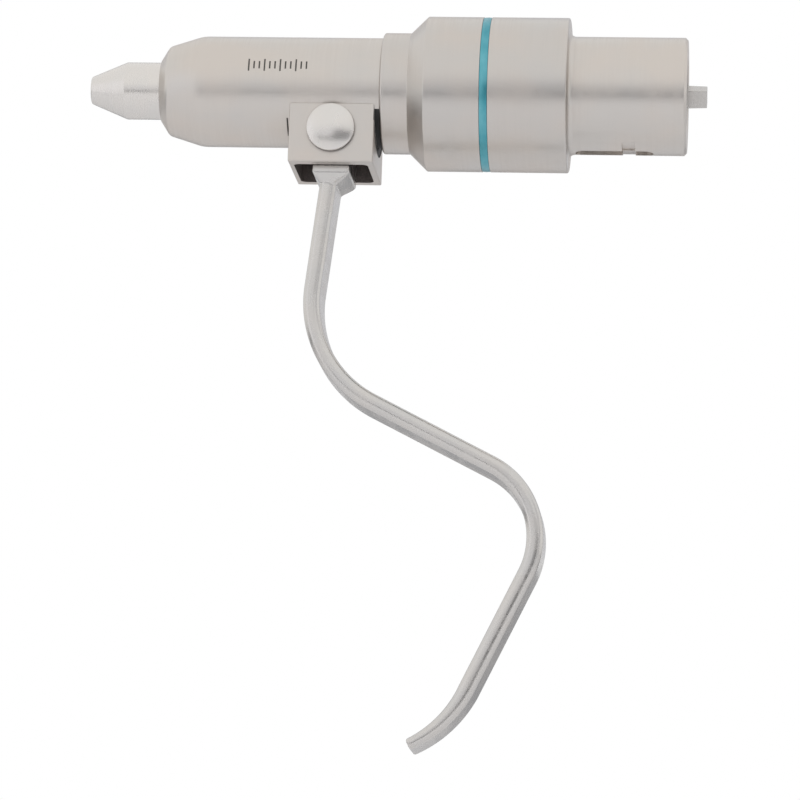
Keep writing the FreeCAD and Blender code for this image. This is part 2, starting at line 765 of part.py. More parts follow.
def make_bearing(name, front):
    """One deep-groove ball bearing: outer ring, inner ring and balls."""
    rear = front + " + bearing_width"
    middle = front + " + bearing_width / 2"
    groove = "bearing_ball + race_play"
    half_groove = "sqrt((%s) ^ 2 - race_gap ^ 2)" % groove
    edge = "bearing_edge"
    turned(name + "_outer_ring", [
        (front, "outer_race"),
        (front, "bearing_outer_radius - " + edge),
        (front + " + " + edge, "bearing_outer_radius"),
        (rear + " - " + edge, "bearing_outer_radius"),
        (rear, "bearing_outer_radius - " + edge),
        (rear, "outer_race"),
        (middle + " + " + half_groove, "outer_race", groove, 1),
        (middle + " - " + half_groove, "outer_race"),
    ])
    turned(name + "_inner_ring", [
        (front, "bearing_bore_radius + " + edge),
        (front, "inner_race"),
        (middle + " - " + half_groove, "inner_race", groove, 1),
        (middle + " + " + half_groove, "inner_race"),
        (rear, "inner_race"),
        (rear, "bearing_bore_radius + " + edge),
        (rear + " - " + edge, "bearing_bore_radius"),
        (front + " + " + edge, "bearing_bore_radius"),
    ])
    ring_of_balls(name + "_balls", middle, "bearing_pitch", "bearing_ball", BALLS_IN_BEARING)


def ring_of_balls(label, place, pitch, radius, count):
    balls = []
    for number in range(count):
        angle = 360.0 / count * (number + 0.5)
        ball = doc.addObject("Part::Sphere", "%s_%d" % (label, number + 1))
        ball.Placement = FreeCAD.Placement(V(0, 0, 0), ALONG_X)
        bind(ball, "Radius", radius)
        bind(ball, "Placement.Base.x", place)
        bind(ball, "Placement.Base.y", "(%s) * cos(%s)" % (pitch, angle))
        bind(ball, "Placement.Base.z", "(%s) * sin(%s)" % (pitch, angle))
        balls.append(ball)
    group(label, balls)


# Seals, sleeves, circlips and washers

def make_circlip(label, front):
    """Internal circlip: a thin ring in its groove, open at one side."""
    body = tube(label, front, front + " + circlip_thickness",
                "bearing_outer_radius - circlip_inside", "bearing_outer_radius + circlip_reach - fit_clearance")
    box(body, "Subtractive", label + "_opening",
        (front + " - cut_margin", "-circlip_half_opening", "0"),
        (front + " + circlip_thickness + cut_margin", "circlip_half_opening", "2 * bearing_outer_radius"))


def make_small_rings():
    tube("front_seal", "seal_front", "front_sleeve_front",
         "nose_radius + seal_lip_gap", "bearing_outer_radius")
    tube("front_sleeve", "front_sleeve_front", "front_bearing_front",
         "nose_radius + front_sleeve_gap", "bearing_outer_radius")
    tube("nose_spacer", "nose_rear", "front_bearing_front", "bearing_bore_radius", "inner_race")
    tube("preload_washer", "washer_front", "mid_bearing_front",
         "outer_race", "bearing_outer_radius")
    tube("rear_sleeve", "rear_sleeve_front", "rear_sleeve_rear",
         "spindle_radius + fit_clearance", "bore_fit")
    tube("bearing_spacer", "mid_bearing_rear", "coupling_front",
         "bearing_outer_radius - sleeve_wall", "bearing_outer_radius")
    tube("rear_seal", "rear_seal_front", "rear_seal_rear",
         "bearing_bore_radius + seal_lip_gap", "bearing_outer_radius")
    make_circlip("front_circlip", "front_bearing_rear")
    make_circlip("rear_circlip", "rear_bearing_rear")
    body = new_body("coupling_packing_ring")
    ring = body.newObject("PartDesign::AdditiveTorus", "packing_torus")
    ring.Placement = FreeCAD.Placement(V(0, 0, 0), ALONG_X)
    bind(ring, "Radius1", "coupling_spigot_radius - packing_radius")
    bind(ring, "Radius2", "packing_radius")
    bind(ring, "Placement.Base.x", "-packing_setback")


# Coupling shank with its keyway and cross notch

def make_coupling_shank():
    groove_front = "-packing_setback - packing_groove_width / 2"
    groove_rear = "-packing_setback + packing_groove_width / 2"
    groove_floor = "coupling_spigot_radius - 2 * packing_radius - fit_clearance"
    circlip_rear = "rear_bearing_rear + circlip_thickness + fit_clearance"
    guide_front = "key_end + key_land"
    body = turned("coupling_shank", [
        ("coupling_front", "shoulder_bore"),
        ("coupling_front", "coupling_spigot_radius"),
        (groove_front, "coupling_spigot_radius"),
        (groove_front, groove_floor),
        (groove_rear, groove_floor),
        (groove_rear, "coupling_spigot_radius"),
        ("0", "coupling_spigot_radius"),
        ("0", "coupling_radius + coupling_foot", "coupling_foot", -1),
        ("coupling_foot", "coupling_radius"),
        (guide_front, "coupling_radius"),
        ("coupling_length - coupling_edge", "coupling_radius"),
        ("coupling_length", "coupling_radius - coupling_edge"),
        ("coupling_length", "seat_radius"),
        (circlip_rear, "seat_radius"),
        (circlip_rear, "seat_radius + circlip_reach"),
        ("rear_bearing_rear", "seat_radius + circlip_reach"),
        ("rear_bearing_rear", "seat_radius"),
        ("rear_bearing_front", "seat_radius"),
        ("rear_bearing_front", "shoulder_bore"),
    ])
    turning = body.Tip
    keyway = box(body, "Subtractive", "keyway",
                 ("key_start", "-key_width / 2", "-coupling_radius - cut_margin"),
                 ("key_end", "key_width / 2", "-coupling_radius + key_depth"))
    notch = box(body, "Subtractive", "cross_notch",
                ("notch_start", "-coupling_radius", "-coupling_radius - cut_margin"),
                ("notch_end", "coupling_radius", "-coupling_radius + notch_depth"))
    # The full ring behind the keyway guides the shank in its socket, and stays a face of its own
    for feature in (turning, keyway, notch):
        feature.Refine = False


# Rotating parts: nose cap, spindle, drive shaft and pins

def make_nose_cap():
    turned("nose_cap", [
        ("nose_tip", "wire_bore_radius"),
        ("nose_tip", "nose_tip_radius - nose_edge"),
        ("nose_tip + nose_edge", "nose_tip_radius"),
        ("nose_corner", "nose_radius"),
        ("nose_rear", "nose_radius"),
        ("nose_rear", "nose_thread_radius"),
        ("cavity_rear", "nose_thread_radius"),
        ("cavity_front", "jaw_cone_mouth"),
        ("cavity_front", "wire_bore_radius"),
    ])


def make_spindle():
    body = turned("spindle", [
        ("spindle_front", "push_radius + slide_clearance"),
        ("spindle_front", "nose_thread_radius - fit_clearance"),
        ("nose_rear", "nose_thread_radius - fit_clearance"),
        ("nose_rear", "bore_fit"),
        ("front_bearing_rear", "bore_fit"),
        ("front_bearing_rear", "spindle_shoulder_radius"),
        ("flange_front", "spindle_shoulder_radius"),
        ("flange_front", "spring_flange_radius"),
        ("flange_rear", "spring_flange_radius"),
        ("flange_rear", "spindle_radius"),
        ("spindle_rear", "spindle_radius"),
        ("spindle_rear", "push_bore_radius"),
        ("push_bore_rear", "push_bore_radius"),
        ("push_bore_rear", "push_radius + slide_clearance"),
    ])
    half_width = "(key_pin_radius + key_slot_side_gap)"
    box(body, "Subtractive", "key_slot",
        ("key_pin_place - throw - key_pin_radius - key_slot_end_gap", "-spindle_radius - cut_margin", "-" + half_width),
        ("key_pin_place + key_pin_radius + key_slot_end_gap", "spindle_radius + cut_margin", half_width))
    rod(body, "Subtractive", "drive_pin_hole", ("drive_pin_place", "0", "-spindle_radius - cut_margin"),
        "drive_pin_radius + fit_clearance", "2 * (spindle_radius + cut_margin)", ALONG_Z)


def make_drive_shaft():
    body = turned("drive_shaft", [
        ("rear_sleeve_rear", "spindle_radius + fit_clearance"),
        ("rear_sleeve_rear", "socket_radius"),
        ("rear_bearing_front", "socket_radius"),
        ("rear_bearing_front", "bore_fit"),
        ("tang_front - journal_edge", "bore_fit"),
        ("tang_front", "bore_fit - journal_edge"),
        ("tang_front", "0"),
        ("socket_rear", "0"),
        ("socket_rear", "spindle_radius + fit_clearance"),
    ])
    sketches = []
    for name, place, side in (("tang_foot", "tang_front - join_depth", "tang_side / 2"),
                              ("tang_end", "shaft_end", "tang_side / 2 - tang_shrink")):
        sketch = sketch_on(body, "YZ_Plane", name, place)
        corners = []
        for number in range(4):
            turn = "tang_turn + 45 + %d" % (90 * number)
            reach = "(%s) * sqrt(2)" % side
            corners.append(("%s * cos(%s)" % (reach, turn), "%s * sin(%s)" % (reach, turn)))
        draw(sketch, corners)
        sketches.append(sketch)
    tang = body.newObject("PartDesign::AdditiveLoft", "tang")
    tang.Profile = sketches[0]
    tang.Sections = [sketches[1]]
    tang.Ruled = True
    rod(body, "Subtractive", "shaft_pin_hole", ("drive_pin_place", "0", "-socket_radius - cut_margin"),
        "drive_pin_radius + fit_clearance", "2 * (socket_radius + cut_margin)", ALONG_Z)


def make_drive_pin():
    body = new_body("drive_pin")
    rod(body, "Additive", "drive_pin_rod", ("drive_pin_place", "0", "-socket_radius + fit_clearance"),
        "drive_pin_radius", "2 * (socket_radius - fit_clearance)", ALONG_Z)


# Clamping parts: push tube, thrust collar, shift ring, spring and jaws

def make_push_tube():
    lip = "tail_neck_length - 2 * slide_clearance"
    slot_rear = "push_front + tail_neck_length + tail_thickness"
    body = turned("push_tube", [
        ("push_front", "push_bore_radius"),
        ("push_front", "push_head_radius"),
        ("push_head_rear", "push_head_radius"),
        ("push_head_rear", "push_radius"),
        ("push_rear", "push_radius"),
        ("push_rear", "push_bore_radius"),
    ])
    neck = box(body, "Subtractive", "neck_slot",
               ("push_front - cut_margin", "0", "-tail_neck_width / 2 - slide_clearance"),
               ("push_front + " + lip + " + join_depth / 2", "push_head_radius + cut_margin", "tail_neck_width / 2 + slide_clearance"))
    tee = box(body, "Subtractive", "tee_slot",
              ("push_front + " + lip, "0", "-tail_width / 2 - slide_clearance"),
              (slot_rear, "push_head_radius + cut_margin", "tail_width / 2 + slide_clearance"))
    around(body, "tail_slots", [neck, tee], JAWS)
    rod(body, "Subtractive", "key_pin_holes", ("key_pin_place", "-push_radius - cut_margin", "0"),
        "key_pin_radius + fit_clearance", "2 * (push_radius + cut_margin)", ALONG_Y)


def make_thrust_collar():
    body = tube("thrust_collar", "plate_front", "plate_rear", "collar_plate_bore", "collar_plate_radius")
    rod(body, "Subtractive", "collar_pin_holes", ("key_pin_place", "-collar_plate_radius - cut_margin", "0"),
        "key_pin_radius + fit_clearance", "2 * (collar_plate_radius + cut_margin)", ALONG_Y)


def make_key_pins():
    pins = []
    for number, start in enumerate(("key_pin_inner", "-key_pin_outer"), start=1):
        pin = doc.addObject("Part::Cylinder", "key_pin_%d" % number)
        pin.Placement = FreeCAD.Placement(V(0, 0, 0), ALONG_Y)
        bind(pin, "Radius", "key_pin_radius")
        bind(pin, "Height", "key_pin_outer - key_pin_inner")
        bind(pin, "Placement.Base.x", "key_pin_place")
        bind(pin, "Placement.Base.y", start)
        pins.append(pin)
    group("key_pins", pins)


def make_shift_ring():
    groove_front = "pin_place - ring_groove_width / 2"
    groove_rear = "pin_place + ring_groove_width / 2"
    turned("shift_ring", [
        ("ring_front", "ring_bore_radius"),
        ("ring_front", "ring_radius"),
        (groove_front, "ring_radius"),
        (groove_front, "ring_groove_radius"),
        (groove_rear, "ring_groove_radius"),
        (groove_rear, "ring_radius"),
        ("ring_rear", "ring_radius"),
        ("ring_rear", "ring_bore_radius"),
    ])


def make_return_spring():
    """Coil spring between the spindle's flange and the thrust collar."""
    length = "(plate_front - flange_rear - 2 * spring_wire - 2 * spring_end_gap)"
    helix = doc.addObject("Part::Helix", "spring_line")
    bind(helix, "Radius", "spring_radius")
    bind(helix, "Pitch", length + " / spring_turns")
    bind(helix, "Height", length)
    wire = doc.addObject("Part::Circle", "spring_section")
    wire.Placement = FreeCAD.Placement(V(0, 0, 0), FreeCAD.Rotation(V(1, 0, 0), 90))
    bind(wire, "Placement.Base.x", "spring_radius")
    bind(wire, "Radius", "spring_wire")
    coil = doc.addObject("Part::Sweep", "return_spring")
    coil.Label = "return_spring"
    coil.Sections = [wire]
    coil.Spine = (helix, ["Edge1"])
    coil.Solid = True
    coil.Frenet = True
    coil.Placement = FreeCAD.Placement(V(0, 0, 0), ALONG_X)
    bind(coil, "Placement.Base.x", "flange_rear + spring_wire + spring_end_gap")
    parts.append(coil)


def make_jaw(number):
    """One jaw, drawn where it grips and then set back up the cone to where it stands open."""
    front_rise = "jaw_front_gap * tan(jaw_cone_angle)"
    rear_rise = "(jaw_front_gap + jaw_length) * tan(jaw_cone_angle)"
    body = turned("jaw_%d" % number, [
        ("jaw_front", "jaw_grip_radius"),
        ("jaw_front", "jaw_cone_mouth - jaw_clearance + " + front_rise),
        ("jaw_rear", "jaw_cone_mouth - jaw_clearance + " + rear_rise),
        ("jaw_rear", "jaw_grip_radius"),
    ], "jaw_sector")
    box(body, "Additive", "jaw_neck_%d" % number,
        ("jaw_rear - join_depth", "tail_inner", "-tail_neck_width / 2"),
        ("jaw_rear + tail_neck_length + join_depth / 2", "tail_outer", "tail_neck_width / 2"))
    box(body, "Additive", "jaw_tail_%d" % number,
        ("jaw_rear + tail_neck_length", "tail_inner", "-tail_width / 2"),
        ("jaw_rear + tail_neck_length + tail_thickness", "tail_outer", "tail_width / 2"))
    angle = 360.0 / JAWS * (number - 1)
    body.Placement = FreeCAD.Placement(V(0, 0, 0), FreeCAD.Rotation(V(1, 0, 0), angle))
    opening = "throw * tan(jaw_cone_angle)"
    bind(body, "Placement.Base.x", "throw")
    bind(body, "Placement.Base.y", "%s * cos(%s)" % (opening, angle))
    bind(body, "Placement.Base.z", "%s * sin(%s)" % (opening, angle))


def make_all():
    make_front_barrel()
    make_lever_bracket()
    make_rear_housing()
    make_colour_band()
    make_coupling_shank()
    make_pivot_screw()
    make_pivot_bush()
    make_lever()
    make_fork_pins()
    for name in ("front_bearing", "mid_bearing", "rear_bearing"):
        make_bearing(name, name + "_front")
    make_small_rings()
    make_nose_cap()
    make_spindle()
    make_drive_shaft()
    make_drive_pin()
    make_push_tube()
    make_thrust_collar()
    make_key_pins()
    make_shift_ring()
    ring_of_balls("thrust_balls", "ring_front - thrust_play - thrust_ball", "thrust_pitch",
                  "thrust_ball", BALLS_IN_THRUST_RACE)
    make_return_spring()
    for number in range(1, JAWS + 1):
        make_jaw(number)


def check_and_write():
    """Stop on any failed feature or shape, and only then write the files."""
    doc.recompute()
    for thing in doc.Objects:
        if "Invalid" in thing.State or "Error" in thing.State:
            raise RuntimeError("%s failed: %s" % (thing.Label, thing.State))
    for part in parts:
        if part.Shape.isNull() or not part.Shape.isValid():
            raise RuntimeError(part.Label + " has no valid shape")
    os.makedirs("parts", exist_ok=True)
    for part in parts:
        part.Shape.exportStep("parts/%s.step" % part.Label)
        print("%-28s solids %2d  volume %10.2f" % (part.Label, len(part.Shape.Solids), part.Shape.Volume))


make_all()
check_and_write()
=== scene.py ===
import json
import math

import bmesh
import bpy
from bpy.props import FloatProperty, FloatVectorProperty, IntProperty, PointerProperty
from mathutils import Matrix, Vector


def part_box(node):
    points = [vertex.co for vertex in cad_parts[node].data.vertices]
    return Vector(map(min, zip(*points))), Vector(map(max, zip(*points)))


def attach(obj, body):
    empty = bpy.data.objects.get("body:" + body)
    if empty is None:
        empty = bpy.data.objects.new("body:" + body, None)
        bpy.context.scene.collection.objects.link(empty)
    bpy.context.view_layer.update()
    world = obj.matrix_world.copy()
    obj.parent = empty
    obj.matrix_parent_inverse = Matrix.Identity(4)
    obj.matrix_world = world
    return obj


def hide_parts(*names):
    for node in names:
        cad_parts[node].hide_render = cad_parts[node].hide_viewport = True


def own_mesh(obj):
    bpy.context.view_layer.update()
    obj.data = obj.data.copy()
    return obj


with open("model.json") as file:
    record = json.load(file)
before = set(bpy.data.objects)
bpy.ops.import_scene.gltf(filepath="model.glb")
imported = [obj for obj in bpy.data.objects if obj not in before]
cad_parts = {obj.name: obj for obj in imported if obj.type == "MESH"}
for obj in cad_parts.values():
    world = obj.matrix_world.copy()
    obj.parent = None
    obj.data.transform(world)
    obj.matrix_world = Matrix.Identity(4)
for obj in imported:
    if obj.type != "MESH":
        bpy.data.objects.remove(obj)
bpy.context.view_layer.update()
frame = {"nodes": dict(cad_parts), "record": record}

bl_info = {
    "name": "Wire Driver Looks",
    "version": (1, 0, 0),
    "blender": (4, 5, 0),
    "location": "View3D > Sidebar > Wire Driver",
    "description": "Dresses a lever-operated wire driver attachment in turned and polished steel",
    "category": "Object",
}

MM = 0.001
AXIS = Vector((1.0, 0.0, 0.0))

BARREL_LOW, BARREL_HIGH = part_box("front_barrel")
HOUSING_LOW, HOUSING_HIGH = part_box("rear_housing")
BAND_LOW, BAND_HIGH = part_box("colour_band")
COUPLING_LOW, COUPLING_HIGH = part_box("coupling_shank")
NOSE_LOW, NOSE_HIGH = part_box("nose_cap")
SCREW_LOW, SCREW_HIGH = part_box("pivot_screw")
BRACKET_LOW, BRACKET_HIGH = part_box("lever_bracket")
SHAFT_LOW, SHAFT_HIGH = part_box("drive_shaft")
SPRING_LOW, SPRING_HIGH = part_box("return_spring")
PIVOT = Vector(((SCREW_LOW.x + SCREW_HIGH.x) / 2, 0.0, (SCREW_LOW.z + SCREW_HIGH.z) / 2))


def length(name, default, description):
    """A size in metres that a user can change."""
    return FloatProperty(name=name, default=default, description=description, unit="LENGTH", precision=5)


def turn(name, degrees, description):
    """An angle that a user can change."""
    return FloatProperty(name=name, default=math.radians(degrees), description=description, subtype="ANGLE")


def tint(name, default, description):
    """A colour that a user can change."""
    return FloatVectorProperty(name=name, default=default, description=description,
                               subtype="COLOR", size=3, min=0.0, max=1.0)


class DriverSizes(bpy.types.PropertyGroup):
    """Sizes of the turned pieces, the bracket and the lever."""

    steps: IntProperty(name="Lathe steps", default=160, min=24, description="Facets round a turned piece")
    edge: length("Edge break", 0.18 * MM, "Rounding of a turned edge")
    shoulder_length: length("Shoulder length", 1.6 * MM, "Length of the barrel's first step")
    shoulder_radius: length("Shoulder radius", 8.6 * MM, "Radius behind the barrel's first step")
    mouth_radius: length("Mouth radius", 6.1 * MM, "Radius of the barrel's front rim")
    taper_length: length("Taper length", 6.4 * MM, "Length of the barrel's taper")
    collar_radius: length("Collar radius", 11.6 * MM, "Radius of the housing's collar")
    collar_length: length("Collar length", 5.2 * MM, "Length of the housing's collar")
    chamfer_length: length("Chamfer length", 3.3 * MM, "Length of the housing's front chamfer")
    coupling_radius: length("Coupling radius", 11.25 * MM, "Radius of the coupling shank")
    foot: length("Foot", 1.2 * MM, "Radius of the coupling's foot")
    nose_cylinder: length("Nose cylinder", 6.8 * MM, "Length of the nose's straight part")
    nose_tip: length("Nose tip radius", 2.6 * MM, "Radius of the nose's end")
    wire_bore: length("Wire bore", 1.1 * MM, "Radius of the wire's way")
    key_width: length("Keyway width", 3.2 * MM, "Width of the coupling's keyway")
    key_depth: length("Keyway depth", 1.3 * MM, "Depth of the coupling's keyway")
    tang_side: length("Tang side", 3.6 * MM, "Side of the drive tang")
    tang_turn: turn("Tang turn", 31.0, "How the drive tang stands at rest")
    head_radius: length("Screw head radius", 4.6 * MM, "Radius of the pivot screw's head")
    head_rim: length("Screw head rim", 1.0 * MM, "Straight part of the pivot screw's head")
    screw_radius: length("Screw radius", 2.0 * MM, "Radius of the pivot screw")
    pocket_side: length("Pocket half width", 7.5 * MM, "Half of the bracket's pocket, along Y")
    pocket_front: length("Pocket front wall", 0.9 * MM, "Bracket's wall ahead of its pocket")
    pocket_rear: length("Pocket rear wall", 1.2 * MM, "Bracket's wall behind its pocket")
    # Painted shade: the black disc of this radius on the bracket's rear face stands for the shade in the gap
    # before the collar.
    gap_shade_radius: length("Clearance radius", 12.3 * MM, "Radius of the bracket's blackened relief")
    bar_thickness: length("Bar thickness", 3.2 * MM, "Thickness of the lever's bar")
    bar_width: length("Bar width", 12.0 * MM, "Width of the lever's bar")
    bar_edge: length("Bar edge", 1.35 * MM, "Rounding of the bar's long edges")
    mark_length: length("Mark row", 11.0 * MM, "Length of the row of index marks")
    mark_height: length("Mark height", 2.6 * MM, "Height of the tallest index mark")


class DriverFinish(bpy.types.PropertyGroup):
    """Colours of the finishes."""

    satin: tint("Satin steel", (0.60, 0.564, 0.526), "Bead-blasted and turned steel")
    polished: tint("Polished steel", (0.69, 0.665, 0.635), "Polished steel")
    lever: tint("Lever steel", (0.60, 0.582, 0.56), "Polished bar of the lever")
    housing: tint("Housing steel", (0.575, 0.542, 0.508), "Turned steel of the wide housing")
    shaft: tint("Shaft steel", (0.52, 0.505, 0.485), "Ground steel of the drive shaft")
    band: tint("Colour band", (0.09, 0.37, 0.44), "Teal lacquer of the band")
    # Painted shade: a dark band standing for the shaded side of the screw head next to the bracket.
    rim: tint("Screw rim", (0.26, 0.25, 0.24), "Darkened rim of the pivot screw's head")
    # Painted shade: black standing for the shade in the gap between the bracket and the housing's collar.
    relief: tint("Relief black", (0.028, 0.029, 0.028), "Black oxide in the reliefs behind the bracket")
    # Fills the index marks, and also paints the shadow line beside the bracket's front.
    ink: tint("Mark ink", (0.085, 0.078, 0.07), "Dark filling of the index marks")
    # Painted shade: a dark colour standing for the shade inside the bracket's pocket.
    pocket: tint("Pocket", (0.11, 0.09, 0.083), "Blackened inside of the bracket")
    rubber: tint("Seal rubber", (0.02, 0.02, 0.022), "Black rubber of the seals")
    bronze: tint("Bronze", (0.62, 0.40, 0.20), "Bronze of the pivot bush")


# Finishes

PATTERN_LOW, PATTERN_HIGH = 0.35, 0.65


class Finish:
    """A material while it is made: its shader, and the patterns that feed it."""

    def __init__(self, name, colour, metallic, roughness):
        self.material = bpy.data.materials.new(name)
        self.material.use_nodes = True
        self.tree = self.material.node_tree
        self.shader = self.tree.nodes["Principled BSDF"]
        self.colour = (*colour, 1.0)
        self.shader.inputs["Base Color"].default_value = self.colour
        self.shader.inputs["Metallic"].default_value = metallic
        self.shader.inputs["Roughness"].default_value = roughness
        self.roughness = roughness
        self.place = self.tree.nodes.new("ShaderNodeTexCoord").outputs["Object"]
        self.normals = []

    def node(self, kind, **settings):
        made = self.tree.nodes.new(kind)
        for name, setting in settings.items():
            setattr(made, name, setting)
        return made

    def noise(self, scale, detail=2.0, roughness=0.5):
        """Noise with its own scale, in waves per metre, along each axis."""
        mapping = self.node("ShaderNodeMapping")
        mapping.inputs["Scale"].default_value = scale
        self.tree.links.new(self.place, mapping.inputs["Vector"])
        noise = self.node("ShaderNodeTexNoise")
        noise.inputs["Scale"].default_value = 1.0
        noise.inputs["Detail"].default_value = detail
        noise.inputs["Roughness"].default_value = roughness
        self.tree.links.new(mapping.outputs["Vector"], noise.inputs["Vector"])
        return noise.outputs["Fac"]

    def between(self, pattern, low, high, start=PATTERN_LOW, end=PATTERN_HIGH):
        """Stretch a pattern to run from low to high."""
        spread = self.node("ShaderNodeMapRange")
        for name, number in (("From Min", start), ("From Max", end), ("To Min", low), ("To Max", high)):
            spread.inputs[name].default_value = number
        self.tree.links.new(pattern, spread.inputs["Value"])
        return spread.outputs["Result"]

    def vary_colour(self, pattern, low, high):
        """Run the colour between two multiples of itself along a pattern."""
        mix = self.node("ShaderNodeMix", data_type="RGBA")
        mix.inputs["A"].default_value = tuple(min(c * f, 1.0) for c, f in zip(self.colour, (*low, 1.0)))
        mix.inputs["B"].default_value = tuple(min(c * f, 1.0) for c, f in zip(self.colour, (*high, 1.0)))
        self.tree.links.new(self.between(pattern, 0.0, 1.0), mix.inputs["Factor"])
        self.tree.links.new(mix.outputs["Result"], self.shader.inputs["Base Color"])

    def vary_roughness(self, pattern, spread):
        rough = self.between(pattern, self.roughness - spread, self.roughness + spread)
        self.tree.links.new(rough, self.shader.inputs["Roughness"])

    def both(self, first, second):
        """Add two patterns, and stretch their sum to run from 0 to 1."""
        total = self.node("ShaderNodeMath", operation="ADD")
        self.tree.links.new(first, total.inputs[0])
        self.tree.links.new(second, total.inputs[1])
        return self.between(total.outputs["Value"], 0.0, 1.0, 2 * PATTERN_LOW, 2 * PATTERN_HIGH)

    def relief(self, pattern, depth):
        """Raise and sink the surface along a pattern, by a depth in metres."""
        bump = self.node("ShaderNodeBump")
        bump.inputs["Strength"].default_value = 1.0
        bump.inputs["Distance"].default_value = depth
        self.tree.links.new(pattern, bump.inputs["Height"])
        if self.normals:
            self.tree.links.new(self.normals[-1], bump.inputs["Normal"])
        self.normals.append(bump.outputs["Normal"])
        self.tree.links.new(bump.outputs["Normal"], self.shader.inputs["Normal"])


def turned_steel(name, colour, roughness, line_depth, grain_depth):
    """Steel from the lathe, its rings softened by blasting."""
    finish = Finish(name, colour, 1.0, roughness)
    rings = finish.noise((2600.0, 60.0, 60.0), detail=3.0, roughness=0.65)
    grain = finish.noise((9000.0, 9000.0, 9000.0), detail=1.0)
    cloud = finish.noise((70.0, 90.0, 90.0))
    finish.vary_colour(cloud, (0.97, 0.985, 1.0), (1.03, 1.01, 0.995))
    finish.vary_roughness(finish.both(rings, cloud), 0.05)
    finish.relief(rings, line_depth)
    finish.relief(grain, grain_depth)
    return finish.material


def blasted_steel(name, colour, roughness):
    """Flat steel with a fine bead-blasted grain."""
    finish = Finish(name, colour, 1.0, roughness)
    grain = finish.noise((8000.0, 8000.0, 8000.0))
    cloud = finish.noise((110.0, 110.0, 110.0))
    finish.vary_colour(cloud, (0.97, 0.98, 0.99), (1.03, 1.01, 1.0))
    finish.vary_roughness(cloud, 0.04)
    finish.relief(grain, 0.0025 * MM)
    return finish.material


def polished_steel(name, colour, roughness, scale, depth=0.0006 * MM):
    """Polished steel with faint lines left by the polishing."""
    finish = Finish(name, colour, 1.0, roughness)
    lines = finish.noise(scale, detail=1.0)
    cloud = finish.noise((150.0, 150.0, 150.0))
    finish.vary_colour(cloud, (0.98, 0.985, 0.99), (1.02, 1.01, 1.0))
    finish.vary_roughness(finish.both(lines, cloud), 0.035)
    if depth > 0.0:
        finish.relief(lines, depth)
    return finish.material


def lacquer(name, colour):
    """Clear teal lacquer over steel, run a little unevenly into its groove."""
    finish = Finish(name, colour, 0.8, 0.33)
    finish.shader.inputs["Coat Weight"].default_value = 0.06
    finish.shader.inputs["Coat Roughness"].default_value = 0.06
    cloud = finish.noise((260.0, 150.0, 150.0), detail=3.0)
    finish.vary_colour(cloud, (0.6, 0.8, 0.82), (1.6, 1.16, 1.12))
    finish.relief(finish.noise((700.0, 260.0, 260.0)), 0.012 * MM)
    return finish.material


def dull(name, colour, roughness, metallic=0.0):
    """Rubber, ink, painted shade and other dull finishes with a fine grain."""
    finish = Finish(name, colour, metallic, roughness)
    grain = finish.noise((3000.0, 3000.0, 3000.0))
    finish.vary_colour(grain, (0.8, 0.8, 0.8), (1.25, 1.25, 1.25))
    finish.vary_roughness(grain, 0.06)
    finish.relief(grain, 0.004 * MM)
    return finish.material


FINISHES = {}
FINE_LINES = (2600.0, 60.0, 60.0)


def finish_named(name):
    """Make a finish when it is first asked for, by its maker, colour, roughness and what else that takes."""
    if name not in FINISHES:
        look = bpy.context.scene.driver_finish
        makers = {
            "satin_turned": (turned_steel, look.satin, 0.36, 0.0016 * MM, 0.0014 * MM),
            "satin_flat": (blasted_steel, look.satin, 0.38),
            "polished_turned": (polished_steel, look.polished, 0.26, (3200.0, 40.0, 40.0)),
            "screw_polish": (polished_steel, look.polished, 0.3, (260.0, 40.0, 60.0), 0.0),
            # Painted shade on the side of the screw head next to the bracket.
            "screw_rim_painted_shade": (dull, look.rim, 0.4, 1.0),
            "housing_turned": (turned_steel, look.housing, 0.34, 0.004 * MM, 0.0014 * MM),
            "polished_lever": (polished_steel, look.lever, 0.27, (500.0, 60.0, 500.0), 0.0003 * MM),
            "shaft_steel": (polished_steel, look.shaft, 0.26, FINE_LINES),
            "teal_band": (lacquer, look.band),
            # Painted shade in the gap behind the bracket.
            "painted_gap_shade": (dull, look.relief, 0.6),
            # Ink of the index marks, and the painted shadow line beside the bracket.
            "mark_ink_and_painted_shadow": (dull, look.ink, 0.55),
            # Painted shade inside the bracket's pocket.
            "pocket_painted_shade": (dull, look.pocket, 0.6),
            "seal_rubber": (dull, look.rubber, 0.7),
            "bronze": (dull, look.bronze, 0.35, 1.0),
            "spring_steel": (polished_steel, look.lever, 0.3, (800.0, 800.0, 800.0)),
            "bearing_steel": (polished_steel, look.polished, 0.12, FINE_LINES),
            "inner_steel": (turned_steel, look.satin, 0.42, 0.003 * MM, 0.001 * MM),
        }
        maker, *settings = makers[name]
        FINISHES[name] = maker(name, *settings)
    return FINISHES[name]


# Modelling

def ease(corners, pieces=5):
    """Round each corner (x, r, fillet) of a closed outline; a corner (x, r) stays sharp."""
    line = []
    for index, corner in enumerate(corners):
        here = Vector(corner[:2])
        if len(corner) == 2:
            line.append(here)
            continue
        back = Vector(corners[index - 1][:2]) - here
        ahead = Vector(corners[(index + 1) % len(corners)][:2]) - here
        half = back.angle(ahead) / 2
        taken = corner[2] / math.tan(half)
        if taken > min(back.length, ahead.length):
            raise ValueError("the rounding at %s doesn't fit its outline" % (corner,))
        back.normalize()
        ahead.normalize()
        centre = here + (back + ahead).normalized() * corner[2] / math.sin(half)
        first = here + back * taken - centre
        last = here + ahead * taken - centre
        for step in range(pieces + 1):
            line.append(centre + first.slerp(last, step / pieces).normalized() * corner[2])
    return line


def ring_of(mesh, points):
    """Join points in a closed ring of vertices and edges."""
    corners = [mesh.verts.new(point) for point in points]
    return corners + [mesh.edges.new(pair) for pair in zip(corners, corners[1:] + corners[:1])]


